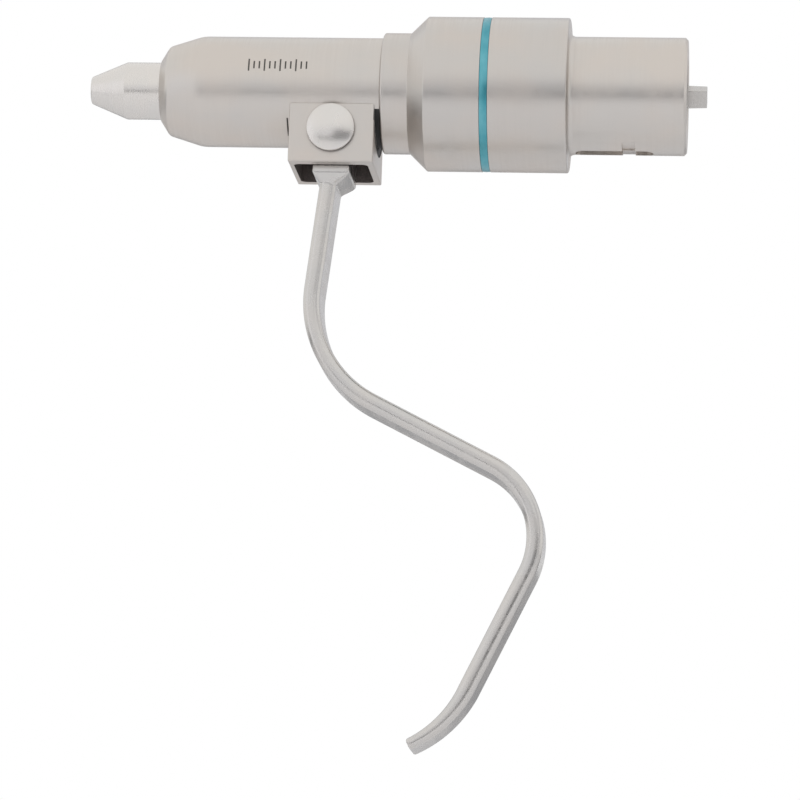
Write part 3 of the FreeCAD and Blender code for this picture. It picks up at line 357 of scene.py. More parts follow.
def edges_of(ring):
    return [item for item in ring if isinstance(item, bmesh.types.BMEdge)]


def verts_of(ring):
    return [item for item in ring if isinstance(item, bmesh.types.BMVert)]


def join_rings(mesh, rings):
    """Close the skin between each ring and the next."""
    for first, second in zip(rings, rings[1:]):
        bmesh.ops.bridge_loops(mesh, edges=edges_of(first) + edges_of(second))


def tidy(mesh):
    """Merge doubled vertices and turn every face outwards."""
    bmesh.ops.remove_doubles(mesh, verts=mesh.verts, dist=0.0005 * MM)
    bmesh.ops.recalc_face_normals(mesh, faces=mesh.faces)


def lathe(outline, steps=None):
    """Turn an outline of (x, radius, fillet) corners about the barrel's axis."""
    mesh = bmesh.new()
    corners = [mesh.verts.new((x, 0.0, radius)) for x, radius in ease(outline)]
    for first, last in zip(corners, corners[1:] + corners[:1]):
        if first.co.z > 0.0 or last.co.z > 0.0:
            mesh.edges.new((first, last))
    steps = steps or bpy.context.scene.driver_sizes.steps
    bmesh.ops.spin(mesh, geom=mesh.verts[:] + mesh.edges[:], cent=(0, 0, 0), axis=AXIS, angle=math.tau,
                   steps=steps, use_merge=True)
    tidy(mesh)
    return mesh


def disc(front, rear, radius):
    """A plain cylinder on the barrel's axis, as a tool to cut with."""
    return lathe([(front, 0.0), (front, radius), (rear, radius), (rear, 0.0)])


def block(low, high):
    """A plain box between two corners, as a tool to cut with or a blank to cut from."""
    mesh = bmesh.new()
    size, middle = Vector(high) - Vector(low), (Vector(high) + Vector(low)) / 2
    bmesh.ops.create_cube(mesh, size=1.0, matrix=Matrix.Translation(middle) @ Matrix.Diagonal((*size, 1.0)))
    return mesh


def across_rod(radius, reach, steps=48):
    """A plain rod along Y through the pivot, to cut a cross hole with."""
    mesh = bmesh.new()
    place = Matrix.Translation(PIVOT) @ Matrix.Rotation(math.pi / 2, 4, "X")
    bmesh.ops.create_cone(mesh, cap_ends=True, segments=steps, radius1=radius, radius2=radius,
                          depth=2 * reach, matrix=place)
    return mesh


def bevel(mesh, chosen, offset, segments=3):
    """Round the edges that a test chooses."""
    edges = [edge for edge in mesh.edges if chosen(edge)]
    bmesh.ops.bevel(mesh, geom=edges, offset=offset, affect="EDGES", segments=segments,
                    profile=0.5, material=-1)


def prism(outline, low, high):
    """Carry an outline of (x, z) points from one y to another."""
    mesh = bmesh.new()
    line = ring_of(mesh, [(x, low, z) for x, z in outline])
    face = bmesh.ops.contextual_create(mesh, geom=line)["faces"][0]
    moved = verts_of(bmesh.ops.extrude_face_region(mesh, geom=[face])["geom"])
    bmesh.ops.translate(mesh, verts=moved, vec=(0, high - low, 0))
    tidy(mesh)
    return mesh


def build(name, mesh, *finishes):
    """Make an object of a mesh, with its finishes."""
    data = bpy.data.meshes.new(name)
    mesh.to_mesh(data)
    mesh.free()
    for finish in finishes:
        data.materials.append(finish_named(finish))
    piece = bpy.data.objects.new(name, data)
    bpy.context.scene.collection.objects.link(piece)
    return piece


def carve(piece, mesh, operation="DIFFERENCE", finish=None):
    """Cut a mesh out of a piece, or join it on. Its faces take the piece's first finish, or the named one."""
    number = piece.data.materials.find(finish) if finish else 0
    for face in mesh.faces:
        face.material_index = number
    tool = build("tool", mesh)
    step = piece.modifiers.new("carve", "BOOLEAN")
    step.operation = operation
    step.solver = "EXACT"
    step.object = tool
    step.material_mode = "INDEX"
    graph = bpy.context.evaluated_depsgraph_get()
    result = bpy.data.meshes.new_from_object(piece.evaluated_get(graph))
    piece.modifiers.remove(step)
    old = piece.data
    piece.data = result
    result.name = piece.name
    bpy.data.meshes.remove(old)
    spare = tool.data
    bpy.data.objects.remove(tool)
    bpy.data.meshes.remove(spare)


def shade(piece, crease=32.0):
    """Shade round stretches smooth and keep the true edges crisp."""
    mesh = bmesh.new()
    mesh.from_mesh(piece.data)
    for face in mesh.faces:
        face.smooth = True
    for edge in mesh.edges:
        edge.smooth = len(edge.link_faces) == 2 and edge.calc_face_angle() < math.radians(crease)
    mesh.to_mesh(piece.data)
    mesh.free()
    even = piece.modifiers.new("even shading", "WEIGHTED_NORMAL")
    even.keep_sharp = True


def settle(piece, body, slot, *nodes):
    """Shade a piece, attach it to its body and hide the CAD nodes it stands in for."""
    if not piece.data.polygons:
        raise RuntimeError(piece.name + " has no faces")
    shade(piece)
    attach(piece, body)
    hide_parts(*nodes)


# Barrel

# Where the inner pieces fit in the turned ones
BEARING_SEAT = 7.02 * MM
SHAFT_WAY = 6.2 * MM


def make_barrel(sizes):
    """Front barrel: rounded mouth, gentle taper, plain bore and the slot for the lever's fork."""
    front, rear = BARREL_LOW.x, BARREL_HIGH.x
    reach = BARREL_HIGH.z
    shoulder = front + sizes.shoulder_length
    body_end = HOUSING_LOW.x
    mouth_bore = NOSE_HIGH.z + 0.15 * MM
    lip_end, bore_step = front + 1.5 * MM, front + 18.7 * MM
    main_bore, spigot = 8.4 * MM, 9.5 * MM
    slot_top = -3.0 * MM
    mesh = lathe([
        (front, mouth_bore, 0.15 * MM),
        (front, sizes.mouth_radius, 0.12 * MM),
        (shoulder, sizes.shoulder_radius, 1.4 * MM),
        (shoulder + sizes.taper_length, reach, 7.0 * MM),
        (body_end, reach, sizes.edge),
        (body_end, spigot),
        (rear, spigot),
        (rear, main_bore),
        (bore_step, main_bore),
        (bore_step, BEARING_SEAT),
        (lip_end, BEARING_SEAT),
        (lip_end, mouth_bore),
    ])
    # The barrel's second finish is the marks' ink, also used for a painted shadow line; its third is painted
    # shade in the gap.
    piece = build("barrel_shell", mesh, "satin_turned", "mark_ink_and_painted_shadow", "painted_gap_shade")
    low = Vector((BRACKET_LOW.x + sizes.pocket_front, -sizes.pocket_side, -reach - MM))
    high = Vector((BRACKET_HIGH.x - sizes.pocket_rear, sizes.pocket_side, slot_top))
    carve(piece, block(low, high))
    return piece


def make_marks(sizes, piece):
    """Cut a plain row of index marks, filled with ink, and a small slit in the barrel's near side filled with
    the same dark as a painted shadow line beside the bracket.
    """
    width = 0.3 * MM
    row_start, row_depth, row_lean = -60.6 * MM, 0.12 * MM, math.radians(-15.5)
    count, tall_each, short_share = 12, 3, 0.62
    shadow_line_ahead, shadow_line_depth, shadow_line_height, shadow_line_lean = 0.55 * MM, 0.3 * MM, 4.4 * MM, math.radians(53.0)
    mesh = bmesh.new()

    def cutter(place, depth, tall, lean):
        spot = Matrix.Translation((place, depth - BARREL_HIGH.z - MM / 2, 0))
        size = Matrix.Diagonal((width, MM, tall, 1.0))
        bmesh.ops.create_cube(mesh, size=1.0, matrix=Matrix.Rotation(lean, 4, "X") @ spot @ size)

    for number in range(count):
        tall = sizes.mark_height * (1.0 if number % tall_each == 0 else short_share)
        cutter(row_start + sizes.mark_length * number / (count - 1), row_depth, tall, row_lean)
    # Painted shadow: this slit, filled with the ink, stands for the shadow line beside the bracket's front.
    cutter(BRACKET_LOW.x - shadow_line_ahead, shadow_line_depth, shadow_line_height, shadow_line_lean)
    carve(piece, mesh, finish="mark_ink_and_painted_shadow")


def paint_gap_shade(piece):
    """Paint shade into a shallow relief in the barrel's lower half, between the bracket and the collar: a
    black finish standing for the shade in that gap.
    """
    depth, top = 0.2 * MM, -5.3 * MM
    front, rear = BRACKET_HIGH.x - 0.1 * MM, HOUSING_LOW.x + 0.02 * MM
    floor = BARREL_HIGH.z - depth
    mesh = lathe([(front, floor), (front, floor + MM), (rear, floor + MM), (rear, floor)])
    bmesh.ops.bisect_plane(mesh, geom=mesh.verts[:] + mesh.edges[:] + mesh.faces[:], dist=0.0001 * MM,
                           plane_co=(0, 0, top), plane_no=(0, 0, 1), clear_outer=True)
    bmesh.ops.holes_fill(mesh, edges=[edge for edge in mesh.edges if edge.is_boundary])
    tidy(mesh)
    # Painted shade: the relief's faces take the black finish.
    carve(piece, mesh, finish="painted_gap_shade")


# Housing and band

def make_housing(sizes):
    """Rear housing: collar, chamfer, the wide turned drum and the groove of its band."""
    front, drum = HOUSING_LOW.x, HOUSING_HIGH.z
    chamfer = front + sizes.collar_length
    shoulder = chamfer + sizes.chamfer_length
    groove_start, groove_end = BAND_LOW.x - 0.04 * MM, BAND_HIGH.x + 0.04 * MM
    floor = drum - 0.9 * MM
    barrel_way, barrel_stop = 9.52 * MM, -30.5 * MM
    coupling_way, coupling_stop = 9.02 * MM, -10.0 * MM
    bearing_stop = -29.6 * MM
    return build("housing_shell", lathe([
        (front, barrel_way),
        (front, sizes.collar_radius, 0.45 * MM),
        (chamfer, sizes.collar_radius, 0.25 * MM),
        (shoulder, drum, 0.3 * MM),
        (groove_start, drum, 0.07 * MM),
        (groove_start, floor),
        (groove_end, floor),
        (groove_end, drum, 0.07 * MM),
        (0.0, drum, 0.35 * MM),
        (0.0, coupling_way),
        (coupling_stop, coupling_way),
        (coupling_stop, BEARING_SEAT),
        (bearing_stop, BEARING_SEAT),
        (bearing_stop, SHAFT_WAY),
        (barrel_stop, SHAFT_WAY),
        (barrel_stop, barrel_way),
    ]), "housing_turned")


def make_band():
    """Colour band: a lacquered ring, slightly crowned, in the drum's groove."""
    drum = HOUSING_HIGH.z
    inner = drum - 0.88 * MM
    crown, rim = drum - 0.03 * MM, drum - 0.1 * MM
    middle = (BAND_LOW.x + BAND_HIGH.x) / 2
    return build("band_ring", lathe([
        (BAND_LOW.x, inner),
        (BAND_LOW.x, rim, 0.04 * MM),
        (middle, crown, 3.0 * MM),
        (BAND_HIGH.x, rim, 0.04 * MM),
        (BAND_HIGH.x, inner),
    ]), "teal_band")


# Coupling, drive shaft and nose

def make_coupling(sizes):
    """Coupling shank with its foot, keyway and cross notch."""
    rear, reach, foot = COUPLING_HIGH.x, sizes.coupling_radius, sizes.foot
    lip = 0.5 * MM
    groove, groove_width = 7.47 * MM, 0.82 * MM
    bearing, bearing_width = rear - 4.5 * MM, 5.0 * MM
    quarter = [math.radians(15 * step) for step in range(7)]
    cove = [(foot - foot * math.cos(lean), reach + foot - foot * math.sin(lean)) for lean in quarter]
    piece = build("coupling_body", lathe([(0.0, SHAFT_WAY)] + cove + [
        (rear - lip, reach, 0.25 * MM),
        (rear, reach - lip, 0.15 * MM),
        (rear, BEARING_SEAT, 0.2 * MM),
        (bearing + groove_width, BEARING_SEAT),
        (bearing + groove_width, groove),
        (bearing, groove),
        (bearing, BEARING_SEAT),
        (bearing - bearing_width, BEARING_SEAT),
        (bearing - bearing_width, SHAFT_WAY),
    ]), "satin_turned")
    half = sizes.key_width / 2
    key_start, key_end, key_corner = 1.4 * MM, 16.2 * MM, half * 0.9
    keyway = block((key_start, -half, -reach - MM), (key_end, half, -reach + sizes.key_depth))
    bevel(keyway, lambda edge: abs(edge.verts[0].co.x - edge.verts[1].co.x) < MM
          and abs(edge.verts[0].co.y - edge.verts[1].co.y) < MM, key_corner, segments=6)
    carve(piece, keyway)
    notch_start, notch_end, notch_depth = 10.3 * MM, 12.8 * MM, 1.05 * MM
    carve(piece, block((notch_start, -reach, -reach - MM), (notch_end, reach, -reach + notch_depth)))
    return piece


def make_shaft(sizes):
    """Drive shaft end: a round journal and the slightly tapered square tang."""
    front, tang_start, tip = SHAFT_LOW.x, COUPLING_HIGH.x - MM, SHAFT_HIGH.x
    journal, socket, bore = 3.48 * MM, 4.5 * MM, 3.02 * MM
    socket_end, bore_end = 13.0 * MM, front + 8.0 * MM
    piece = build("shaft_body", lathe([
        (front, bore),
        (front, socket, 0.2 * MM),
        (socket_end, socket, 0.2 * MM),
        (socket_end, journal),
        (tang_start, journal, 0.4 * MM),
        (tang_start, 0.0),
        (bore_end, 0.0),
        (bore_end, bore),
    ], steps=64), "shaft_steel")
    half, tip_share, overlap = sizes.tang_side / 2, 0.93, 0.3 * MM
    mesh = block((tang_start - overlap, -half, -half), (tip, half, half))
    end = [vert for vert in mesh.verts if vert.co.x > tip - MM]
    bmesh.ops.scale(mesh, verts=end, vec=(1.0, tip_share, tip_share))
    bevel(mesh, lambda edge: max(vert.co.x for vert in edge.verts) > tip - MM, 0.14 * MM)
    bmesh.ops.rotate(mesh, verts=mesh.verts, cent=(0, 0, 0),
                     matrix=Matrix.Rotation(sizes.tang_turn, 3, "X"))
    carve(piece, mesh, "UNION")
    return piece


def make_nose(sizes):
    """Nose cap: polished cylinder and cone with the wire's way through them."""
    tip, rear, reach = NOSE_LOW.x, NOSE_HIGH.x, NOSE_HIGH.z
    corner = BARREL_LOW.x - sizes.nose_cylinder
    bore, cone_start = 4.2 * MM, -78.24 * MM
    cone_tip, cone_end = 1.3 * MM, -90.8 * MM
    return build("nose_shell", lathe([
        (tip, sizes.wire_bore, 0.2 * MM),
        (tip, sizes.nose_tip, 0.4 * MM),
        (corner, reach, 0.9 * MM),
        (rear, reach, 0.1 * MM),
        (rear, bore),
        (cone_start, bore),
        (cone_end, cone_tip),
        (cone_end, sizes.wire_bore),
    ], steps=128), "polished_turned")


# Return spring

def make_spring():
    """Return spring: a round wire wound along the barrel's axis."""
    turns, steps, sides, wire = 4, 36, 10, 0.45 * MM
    reach = SPRING_HIGH.z - wire
    start = SPRING_LOW.x + wire
    travel = SPRING_HIGH.x - wire - start
    pitch = travel / (turns * math.tau * reach)
    round_wire = [math.tau * side / sides for side in range(sides)]
    mesh = bmesh.new()
    rings = []
    for step in range(turns * steps + 1):
        angle = math.tau * step / steps
        out = Vector((0.0, math.sin(angle), math.cos(angle)))
        along = Vector((pitch, math.cos(angle), -math.sin(angle))).normalized()
        beside = along.cross(out)
        middle = Vector((start + travel * step / (turns * steps), 0.0, 0.0)) + out * reach
        rings.append(ring_of(mesh, [middle + (out * math.cos(lean) + beside * math.sin(lean)) * wire
                                    for lean in round_wire]))
    bmesh.ops.edgeloop_fill(mesh, edges=edges_of(rings[0]))
    bmesh.ops.edgeloop_fill(mesh, edges=edges_of(rings[-1]))
    join_rings(mesh, rings)
    tidy(mesh)
    return build("spring_wire", mesh, "spring_steel")


def close_spring(piece):
    """Give the spring its own copy of its mesh."""
    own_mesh(piece)


# Pivot screw and bracket

def make_screw(sizes):
    """Pivot screw: a domed polished head on the near side, with painted shade on its side next to the
    bracket, and a slotted end on the far one.
    """
    side, gap = BRACKET_HIGH.y, 0.03 * MM
    under, rim, crown = -side - gap, -side - sizes.head_rim, SCREW_LOW.y
    radius, reach = sizes.screw_radius, sizes.head_radius
    dome = rim - crown
    ball = (reach * reach + dome * dome) / (2 * dome)
    lean = math.asin(reach / ball)
    steps, smallest = 8, 0.12
    rise = [(crown + ball - ball * math.cos(lean * smallest * step), ball * math.sin(lean * smallest * step))
            for step in reversed(range(steps))]
    # Painted shade: the head's side from here to the bracket's face takes the dark rim finish.
    dark = rim + 0.4 * MM
    mesh = lathe([
        (side, 0.0),
        (side, radius, 0.15 * MM),
        (under, radius),
        (under, reach, 0.12 * MM),
        (dark, reach),
        (rim, reach, 0.3 * MM),
    ] + rise, steps=96)
    for face in mesh.faces:
        face.material_index = int(dark < face.calc_center_median().x < -side)
    bmesh.ops.rotate(mesh, verts=mesh.verts, cent=(0, 0, 0), matrix=Matrix.Rotation(math.pi / 2, 3, "Z"))
    bmesh.ops.translate(mesh, verts=mesh.verts, vec=PIVOT)
    piece = build("screw_body", mesh, "screw_polish", "screw_rim_painted_shade")
    half, slot_depth, slot_reach = 0.4 * MM, 0.9 * MM, 3 * MM
    carve(piece, block((PIVOT.x - half, side - slot_depth, PIVOT.z - slot_reach),
                       (PIVOT.x + half, side + MM, PIVOT.z + slot_reach)))
    return piece


def make_bracket(sizes):
    """Bracket under the barrel: an open-bottomed block, with painted shade on its pocket's inside and on a
    shallow relief in its rear face.
    """
    front, rear, low = BRACKET_LOW.x, BRACKET_HIGH.x, BRACKET_LOW.z
    edge_break, pocket_corner = 0.3 * MM, 1.2 * MM
    screw_hole = sizes.screw_radius + 0.02 * MM
    seat, gap_shade_depth = BARREL_HIGH.z + 0.02 * MM, 0.15 * MM
    mesh = block(BRACKET_LOW, BRACKET_HIGH)

    def outside_edge(edge):
        ends = [vert.co for vert in edge.verts]
        upright = abs(ends[0].z - ends[1].z) > MM
        return upright or all(end.z < low + MM for end in ends)

    bevel(mesh, outside_edge, edge_break, segments=4)
    piece = build("bracket_body", mesh, "satin_flat", "pocket_painted_shade", "painted_gap_shade")
    pocket = block((front + sizes.pocket_front, -sizes.pocket_side, low - MM),
                   (rear - sizes.pocket_rear, sizes.pocket_side, 0.0))
    bevel(pocket, lambda edge: abs(edge.verts[0].co.z - edge.verts[1].co.z) > MM, pocket_corner, segments=5)
    # Painted shade: the pocket's inner faces take the dark finish.
    carve(piece, pocket, finish="pocket_painted_shade")
    carve(piece, disc(front - MM, rear + MM, seat))
    carve(piece, across_rod(screw_hole, BRACKET_HIGH.y + MM))
    # Painted shade: a shallow disc in the rear face takes the black finish, standing for the shade in the gap
    # before the collar.
    carve(piece, disc(rear - gap_shade_depth, rear + MM, sizes.gap_shade_radius), finish="painted_gap_shade")
    return piece


# Lever

# Steps of the bar from its head down: a straight's length, or a bend's radius and the
# angle from straight down that it ends at
NECK_ANGLE = -6.4
NECK_LENGTH = 23.9 * MM
BAR_STEPS = (
    ("bend", 21.8 * MM, 63.4),
    ("straight", 25.6 * MM),
    ("bend", 15.5 * MM, -25.5),
    ("straight", 24.2 * MM),
    ("bend", 22.6 * MM, -64.5),
)
HEAD_HALF = 7.0 * MM
BOSS_RADIUS = 3.55 * MM
FOOT_HEIGHT = -16.9 * MM
FLARE_TOP = -14.0 * MM
FLARE_END = -19.3 * MM
BAR_START = Vector((PIVOT.x - 0.2 * MM, 0.0, -15.2 * MM))
FORK_PIN = Vector((-43.16 * MM, 0.0, -0.113 * MM))
FORK_HALF = 2.0 * MM
FORK_INNER = 5.65 * MM
BUSH_HOLE = 2.72 * MM


def plate_section(half, side, edge):
    """A rounded rectangle, as points (thickness way, width way)."""
    corners = [(-half, -side, edge), (half, -side, edge), (half, side, edge), (-half, side, edge)]
    return ease(corners, pieces=6)


def heading(angle):
    """Way of the bar at an angle from straight down."""
    return Vector((math.sin(math.radians(angle)), 0.0, -math.cos(math.radians(angle))))


def grow(mesh, ring, step):
    """Extrude a ring by a step, and give the ring at its end."""
    verts = verts_of(bmesh.ops.extrude_edge_only(mesh, edges=edges_of(ring))["geom"])
    bmesh.ops.translate(mesh, verts=verts, vec=step)
    return verts + [edge for edge in mesh.edges if edge.verts[0] in verts and edge.verts[1] in verts]


def make_flare(mesh, sizes):
    """Blend the foot of the head into the bar's section, and give the last ring and its middle."""
    way = heading(NECK_ANGLE)
    end = BAR_START + way * ((FLARE_END - BAR_START.z) / way.z)
    inset, slices, head_edge = 0.03 * MM, 12, 0.35 * MM
    rings = []
    for number in range(-1, slices + 1):
        share = max(number, 0) / slices
        blend = share * share * (3 - 2 * share)
        half = (BOSS_RADIUS - inset) * (1 - blend) + sizes.bar_thickness / 2 * blend
        side = (HEAD_HALF - inset) * (1 - blend) + sizes.bar_width / 2 * blend
        tilt = Matrix.Rotation(math.radians(-NECK_ANGLE) * blend, 3, "Y")
        height = FOOT_HEIGHT + (FLARE_END - FOOT_HEIGHT) * share if number >= 0 else FLARE_TOP
        middle = Vector((PIVOT.x * (1 - blend) + end.x * blend, 0.0, height))
        section = plate_section(half, side, head_edge * (1 - blend) + sizes.bar_edge * blend)
        rings.append(ring_of(mesh, [middle + tilt @ Vector((u, v, 0.0)) for u, v in section]))
    bmesh.ops.edgeloop_fill(mesh, edges=edges_of(rings[0]))
    join_rings(mesh, rings)
    return rings[-1], end


def make_bar(sizes):
    """Carry the section down the bar: straights are extruded, bends are spun, and the toe thins out."""
    mesh = bmesh.new()
    fewest_pieces, pieces_per_radian, toe_share, toe_edge = 12, 32, 0.982, 0.45 * MM
    angle = NECK_ANGLE
    way = heading(angle)
    across = Vector((-way.z, 0.0, way.x))
    ring, spot = make_flare(mesh, sizes)
    neck = NECK_LENGTH - (spot - BAR_START).length
    for step in (("straight", neck),) + BAR_STEPS:
        if step[0] == "straight":
            ring = grow(mesh, ring, way * step[1])
            spot = spot + way * step[1]
            continue
        turned_by = math.radians(step[2] - angle)
        centre = spot + across * step[1] * (1.0 if turned_by > 0 else -1.0)
        pieces = max(fewest_pieces, int(abs(turned_by) * pieces_per_radian))
        thinning = toe_share if step is BAR_STEPS[-1] else 1.0
        for piece in range(pieces):
            made = bmesh.ops.spin(mesh, geom=ring, cent=centre, axis=(0, -1, 0), angle=turned_by / pieces,
                                  steps=1, use_merge=False)
            ring = made["geom_last"]
            spot = centre + Matrix.Rotation(-turned_by / pieces, 3, "Y") @ (spot - centre)
            away = (spot - centre).normalized()
            axes = Matrix((away, (0, 1, 0), away.cross((0, 1, 0)))).transposed().to_4x4()
            frame_here = Matrix.Translation(spot) @ axes
            shrink = frame_here @ Matrix.Diagonal((thinning, 1.0, 1.0, 1.0)) @ frame_here.inverted()
            bmesh.ops.transform(mesh, matrix=shrink, verts=verts_of(ring))
        angle = step[2]
        way = heading(angle)
        across = Vector((-way.z, 0.0, way.x))
    end = edges_of(ring)
    bmesh.ops.edgeloop_fill(mesh, edges=end)
    bmesh.ops.bevel(mesh, geom=end, offset=toe_edge, affect="EDGES", segments=4, profile=0.5, material=-1)
    tidy(mesh)
    return mesh


def make_lever(sizes):
    """Lever: the head round its pivot, the two fork arms above it and the bent bar below."""
    side, boss = HEAD_HALF, BOSS_RADIUS
    sharp, head_edge, top_steps, tip_steps = 1.2, 0.3 * MM, 16, 12
    half_turn = [math.pi * step / top_steps for step in range(top_steps + 1)]
    outline = [(PIVOT.x + boss * math.cos(lean), PIVOT.z + boss * math.sin(lean)) for lean in half_turn]
    mesh = prism(outline + [(PIVOT.x - boss, FOOT_HEIGHT), (PIVOT.x + boss, FOOT_HEIGHT)], -side, side)
    bevel(mesh, lambda edge: edge.calc_face_angle(0) > sharp
          and max(vert.co.z for vert in edge.verts) > FOOT_HEIGHT + 0.1 * MM, head_edge)
    piece = build("lever_body", mesh, "polished_lever")
    carve(piece, make_bar(sizes), "UNION")
    arm = (FORK_PIN - PIVOT).normalized()
    across = Vector((-arm.z, 0, arm.x)) * FORK_HALF
    tip = [FORK_PIN + Matrix.Rotation(math.pi * step / tip_steps, 3, "Y") @ -across
           for step in range(tip_steps + 1)]
    fork = [(point.x, point.z) for point in [PIVOT + across, PIVOT - across] + tip]
    for low in (-side, FORK_INNER):
        carve(piece, prism(fork, low, low + side - FORK_INNER), "UNION")
    carve(piece, across_rod(BUSH_HOLE, side + MM))
    return piece


# Stage

TARGET = Vector((-30.61 * MM, 0.0, -59.59 * MM))
CAMERA_DISTANCE = 840.58 * MM
CAMERA_AZIMUTH = math.radians(5.0)
CAMERA_ELEVATION = math.radians(-10.3)
CAMERA_ROLL = math.radians(1.867)
LENS, SENSOR = 200.0, 36.0
NEAREST, FARTHEST = 0.05, 50.0
FLOOR_HEIGHT, FLOOR_SIDE = -0.26, 8.0
WORLD_STRENGTH = 0.67
WHITE = (1.0, 1.0, 1.0, 1.0)
FLOOR_COLOUR = (0.93, 0.93, 0.95, 1.0)
CARD_BLUE = 1.03


def back_way(azimuth, elevation):
    """Way from the object to a camera at this azimuth and elevation."""
    return Vector((math.sin(azimuth) * math.cos(elevation), -math.cos(azimuth) * math.cos(elevation),
                   math.sin(elevation)))


def make_camera():
    data = bpy.data.cameras.new("camera")
    data.lens, data.sensor_width = LENS, SENSOR
    data.clip_start, data.clip_end = NEAREST, FARTHEST
    camera = bpy.data.objects.new("camera", data)
    bpy.context.scene.collection.objects.link(camera)
    back = back_way(CAMERA_AZIMUTH, CAMERA_ELEVATION)
    camera.location = TARGET + back * CAMERA_DISTANCE
    facing = (-back).to_track_quat("-Z", "Y").to_matrix()
    camera.rotation_euler = (facing @ Matrix.Rotation(CAMERA_ROLL, 3, "Z")).to_euler()
    bpy.context.scene.camera = camera


def make_world():
    """Light the object evenly, and show plain white to the camera and to metal."""
    world = bpy.data.worlds.new("studio")
    bpy.context.scene.world = world
    world.use_nodes = True
    tree = world.node_tree
    light = tree.nodes["Background"]
    light.inputs["Color"].default_value = WHITE
    light.inputs["Strength"].default_value = WORLD_STRENGTH
    backdrop = tree.nodes.new("ShaderNodeBackground")
    backdrop.inputs["Color"].default_value = WHITE
    path = tree.nodes.new("ShaderNodeLightPath")
    either = tree.nodes.new("ShaderNodeMath")
    either.operation = "MAXIMUM"
    tree.links.new(path.outputs["Is Camera Ray"], either.inputs[0])
    tree.links.new(path.outputs["Is Glossy Ray"], either.inputs[1])
    mix = tree.nodes.new("ShaderNodeMixShader")
    tree.links.new(either.outputs["Value"], mix.inputs["Fac"])
    tree.links.new(light.outputs["Background"], mix.inputs[1])
    tree.links.new(backdrop.outputs["Background"], mix.inputs[2])
    tree.links.new(mix.outputs["Shader"], tree.nodes["World Output"].inputs["Surface"])


def plane(name, size, place, facing, material):
    """A flat square or strip for the stage, facing one way."""
    mesh = bmesh.new()
    bmesh.ops.create_grid(mesh, x_segments=1, y_segments=1, size=0.5)
    bmesh.ops.scale(mesh, verts=mesh.verts, vec=(size[0], size[1], 1.0))
    data = bpy.data.meshes.new(name)
    mesh.to_mesh(data)
    mesh.free()
    data.materials.append(material)
    thing = bpy.data.objects.new(name, data)
    bpy.context.scene.collection.objects.link(thing)
    thing.location = place
    thing.rotation_euler = Vector(facing).to_track_quat("Z", "Y").to_euler()
    return thing


def glow(name, level):
    """A card of one even, slightly cool level, for metal to reflect."""
    material = bpy.data.materials.new(name)
    material.use_nodes = True
    tree = material.node_tree
    tree.nodes.remove(tree.nodes["Principled BSDF"])
    shine = tree.nodes.new("ShaderNodeEmission")
    shine.inputs["Color"].default_value = (level, level, level * CARD_BLUE, 1.0)
    tree.links.new(shine.outputs["Emission"], tree.nodes["Material Output"].inputs["Surface"])
    return material


def make_cards():
    """Cards before and behind the object that put the light and dark lines along its steel."""
    for name, level, size, azimuth, elevation, distance in (
        ("grey_card", 0.88, (1.6, 0.5), 3.0, -5.0, 0.95),
        ("dark_card", 0.02, (1.3, 0.076), 3.0, -14.0, 0.9),
        ("lens_card", 0.22, (0.24, 0.26), 5.5, -14.5, 0.93),
        ("line_card", 0.26, (0.59, 0.23), 21.0, -3.6, 0.88),
        ("low_left_card", 0.35, (0.9, 0.7), -95.0, -28.0, 0.9),
        ("bright_left_card", 1.06, (0.35, 0.9), -52.0, 0.0, 0.9),
        ("right_card", 0.66, (0.35, 0.9), 58.0, 0.0, 0.9),
        ("rear_high_card", 0.7, (2.4, 0.84), 176.0, 22.5, 1.1),
        ("rear_low_card", 0.37, (2.4, 0.8), 176.0, -21.0, 1.1),
    ):
        back = back_way(math.radians(azimuth), math.radians(elevation))
        card = plane(name, size, back * distance + Vector((TARGET.x, 0, 0)), -back, glow(name, level))
        card.visible_camera = False
        card.visible_diffuse = False
        card.visible_shadow = False


def make_floor():
    material = bpy.data.materials.new("floor")
    material.use_nodes = True
    shader = material.node_tree.nodes["Principled BSDF"]
    shader.inputs["Base Color"].default_value = FLOOR_COLOUR
    shader.inputs["Roughness"].default_value = 0.9
    shader.inputs["Specular IOR Level"].default_value = 0.2
    plane("floor", (FLOOR_SIDE, FLOOR_SIDE), (0, 0, FLOOR_HEIGHT), (0, 0, 1), material)


def make_lamp(name, azimuth, elevation, distance, size, watts):
    data = bpy.data.lights.new(name, "AREA")
    data.shape = "RECTANGLE"
    data.size, data.size_y = size
    data.energy = watts
    lamp = bpy.data.objects.new(name, data)
    bpy.context.scene.collection.objects.link(lamp)
    back = back_way(math.radians(azimuth), math.radians(elevation))
    lamp.location = TARGET + back * distance
    lamp.rotation_euler = back.to_track_quat("Z", "Y").to_euler()
    lamp.visible_glossy = False


# Operators, one for each piece or group of like pieces

def done(report):
    report({"INFO"}, "made")
    return {"FINISHED"}


class DRIVER_OT_stage(bpy.types.Operator):
    """Set up the camera, the lamps, the floor and the cards"""

    bl_idname = "driver.stage"
    bl_label = "Stage"

    def execute(self, context):
        context.scene.view_settings.view_transform = "Standard"
        make_camera()
        make_world()
        make_floor()
        make_cards()
        make_lamp("key_lamp", -40.0, 50.0, 1.2, (0.9, 0.9), 5.0)
        make_lamp("side_lamp", 60.0, 25.0, 1.2, (0.6, 0.9), 2.5)
        return done(self.report)


class DRIVER_OT_inner(bpy.types.Operator):
    """Give every node that stays its finish"""

    bl_idname = "driver.inner"
    bl_label = "Inner pieces"

    def execute(self, context):
        looks = {"satin_steel": "satin_turned", "polished_steel": "polished_turned"}
        slots = {part["node"]: part["material_slot"] for part in frame["record"]["subparts"]}
        for node, thing in frame["nodes"].items():
            slot = slots[node]
            thing.data.materials.clear()
            thing.data.materials.append(finish_named(looks.get(slot, slot)))
        return done(self.report)


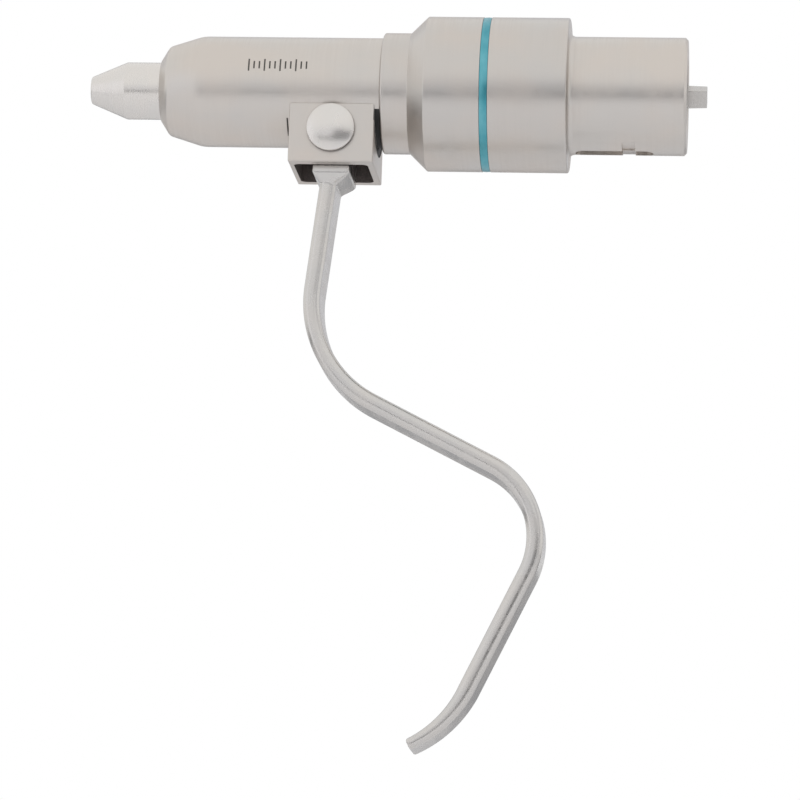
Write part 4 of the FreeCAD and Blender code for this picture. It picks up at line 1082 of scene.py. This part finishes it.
class DRIVER_OT_barrel(bpy.types.Operator):
    """Make the front barrel, its index marks, the painted shadow line beside the bracket and the painted
    shade in its relief
    """

    bl_idname = "driver.barrel"
    bl_label = "Front barrel"

    def execute(self, context):
        sizes = context.scene.driver_sizes
        piece = make_barrel(sizes)
        make_marks(sizes, piece)
        paint_gap_shade(piece)
        settle(piece, "housing", "satin_steel", "front_barrel")
        return done(self.report)


class DRIVER_OT_housing(bpy.types.Operator):
    """Make the rear housing and its colour band"""

    bl_idname = "driver.housing"
    bl_label = "Rear housing"

    def execute(self, context):
        settle(make_housing(context.scene.driver_sizes), "housing", "satin_steel", "rear_housing")
        settle(make_band(), "housing", "teal_band", "colour_band")
        return done(self.report)


class DRIVER_OT_coupling(bpy.types.Operator):
    """Make the coupling shank"""

    bl_idname = "driver.coupling"
    bl_label = "Coupling shank"

    def execute(self, context):
        settle(make_coupling(context.scene.driver_sizes), "housing", "satin_steel", "coupling_shank")
        return done(self.report)


class DRIVER_OT_turning(bpy.types.Operator):
    """Make the pieces that turn and show: the nose cap and the drive shaft"""

    bl_idname = "driver.turning"
    bl_label = "Nose and shaft"

    def execute(self, context):
        sizes = context.scene.driver_sizes
        settle(make_nose(sizes), "spindle", "polished_steel", "nose_cap")
        settle(make_shaft(sizes), "spindle", "polished_steel", "drive_shaft")
        return done(self.report)


class DRIVER_OT_spring(bpy.types.Operator):
    """Make the return spring and hang it on the push tube"""

    bl_idname = "driver.spring"
    bl_label = "Return spring"

    def execute(self, context):
        piece = make_spring()
        settle(piece, "push_tube", "spring_steel", "return_spring")
        close_spring(piece)
        return done(self.report)


class DRIVER_OT_bracket(bpy.types.Operator):
    """Make the lever's bracket and pivot screw"""

    bl_idname = "driver.bracket"
    bl_label = "Bracket and screw"

    def execute(self, context):
        sizes = context.scene.driver_sizes
        settle(make_bracket(sizes), "housing", "satin_steel", "lever_bracket")
        settle(make_screw(sizes), "housing", "polished_steel", "pivot_screw")
        return done(self.report)


class DRIVER_OT_lever(bpy.types.Operator):
    """Make the bent squeeze lever"""

    bl_idname = "driver.lever"
    bl_label = "Lever"

    def execute(self, context):
        settle(make_lever(context.scene.driver_sizes), "lever", "polished_steel", "lever")
        return done(self.report)


OPERATORS = (DRIVER_OT_stage, DRIVER_OT_inner, DRIVER_OT_barrel, DRIVER_OT_housing,
             DRIVER_OT_coupling, DRIVER_OT_turning, DRIVER_OT_spring, DRIVER_OT_bracket, DRIVER_OT_lever)


class DRIVER_PT_pieces(bpy.types.Panel):
    """Lists what makes the wire driver"""

    bl_idname = "DRIVER_PT_pieces"
    bl_label = "Wire Driver"
    bl_space_type = "VIEW_3D"
    bl_region_type = "UI"
    bl_category = "Wire Driver"

    def draw(self, context):
        for maker in OPERATORS:
            self.layout.operator(maker.bl_idname, text=maker.bl_label)


CLASSES = (DriverSizes, DriverFinish) + OPERATORS + (DRIVER_PT_pieces,)


def register():
    for one in CLASSES:
        bpy.utils.register_class(one)
    bpy.types.Scene.driver_sizes = PointerProperty(type=DriverSizes)
    bpy.types.Scene.driver_finish = PointerProperty(type=DriverFinish)


def unregister():
    del bpy.types.Scene.driver_finish
    del bpy.types.Scene.driver_sizes
    for one in reversed(CLASSES):
        bpy.utils.unregister_class(one)


def main():
    register()
    for maker in OPERATORS:
        group, name = maker.bl_idname.split(".")
        getattr(getattr(bpy.ops, group), name)()


if __name__ == "__main__":
    main()
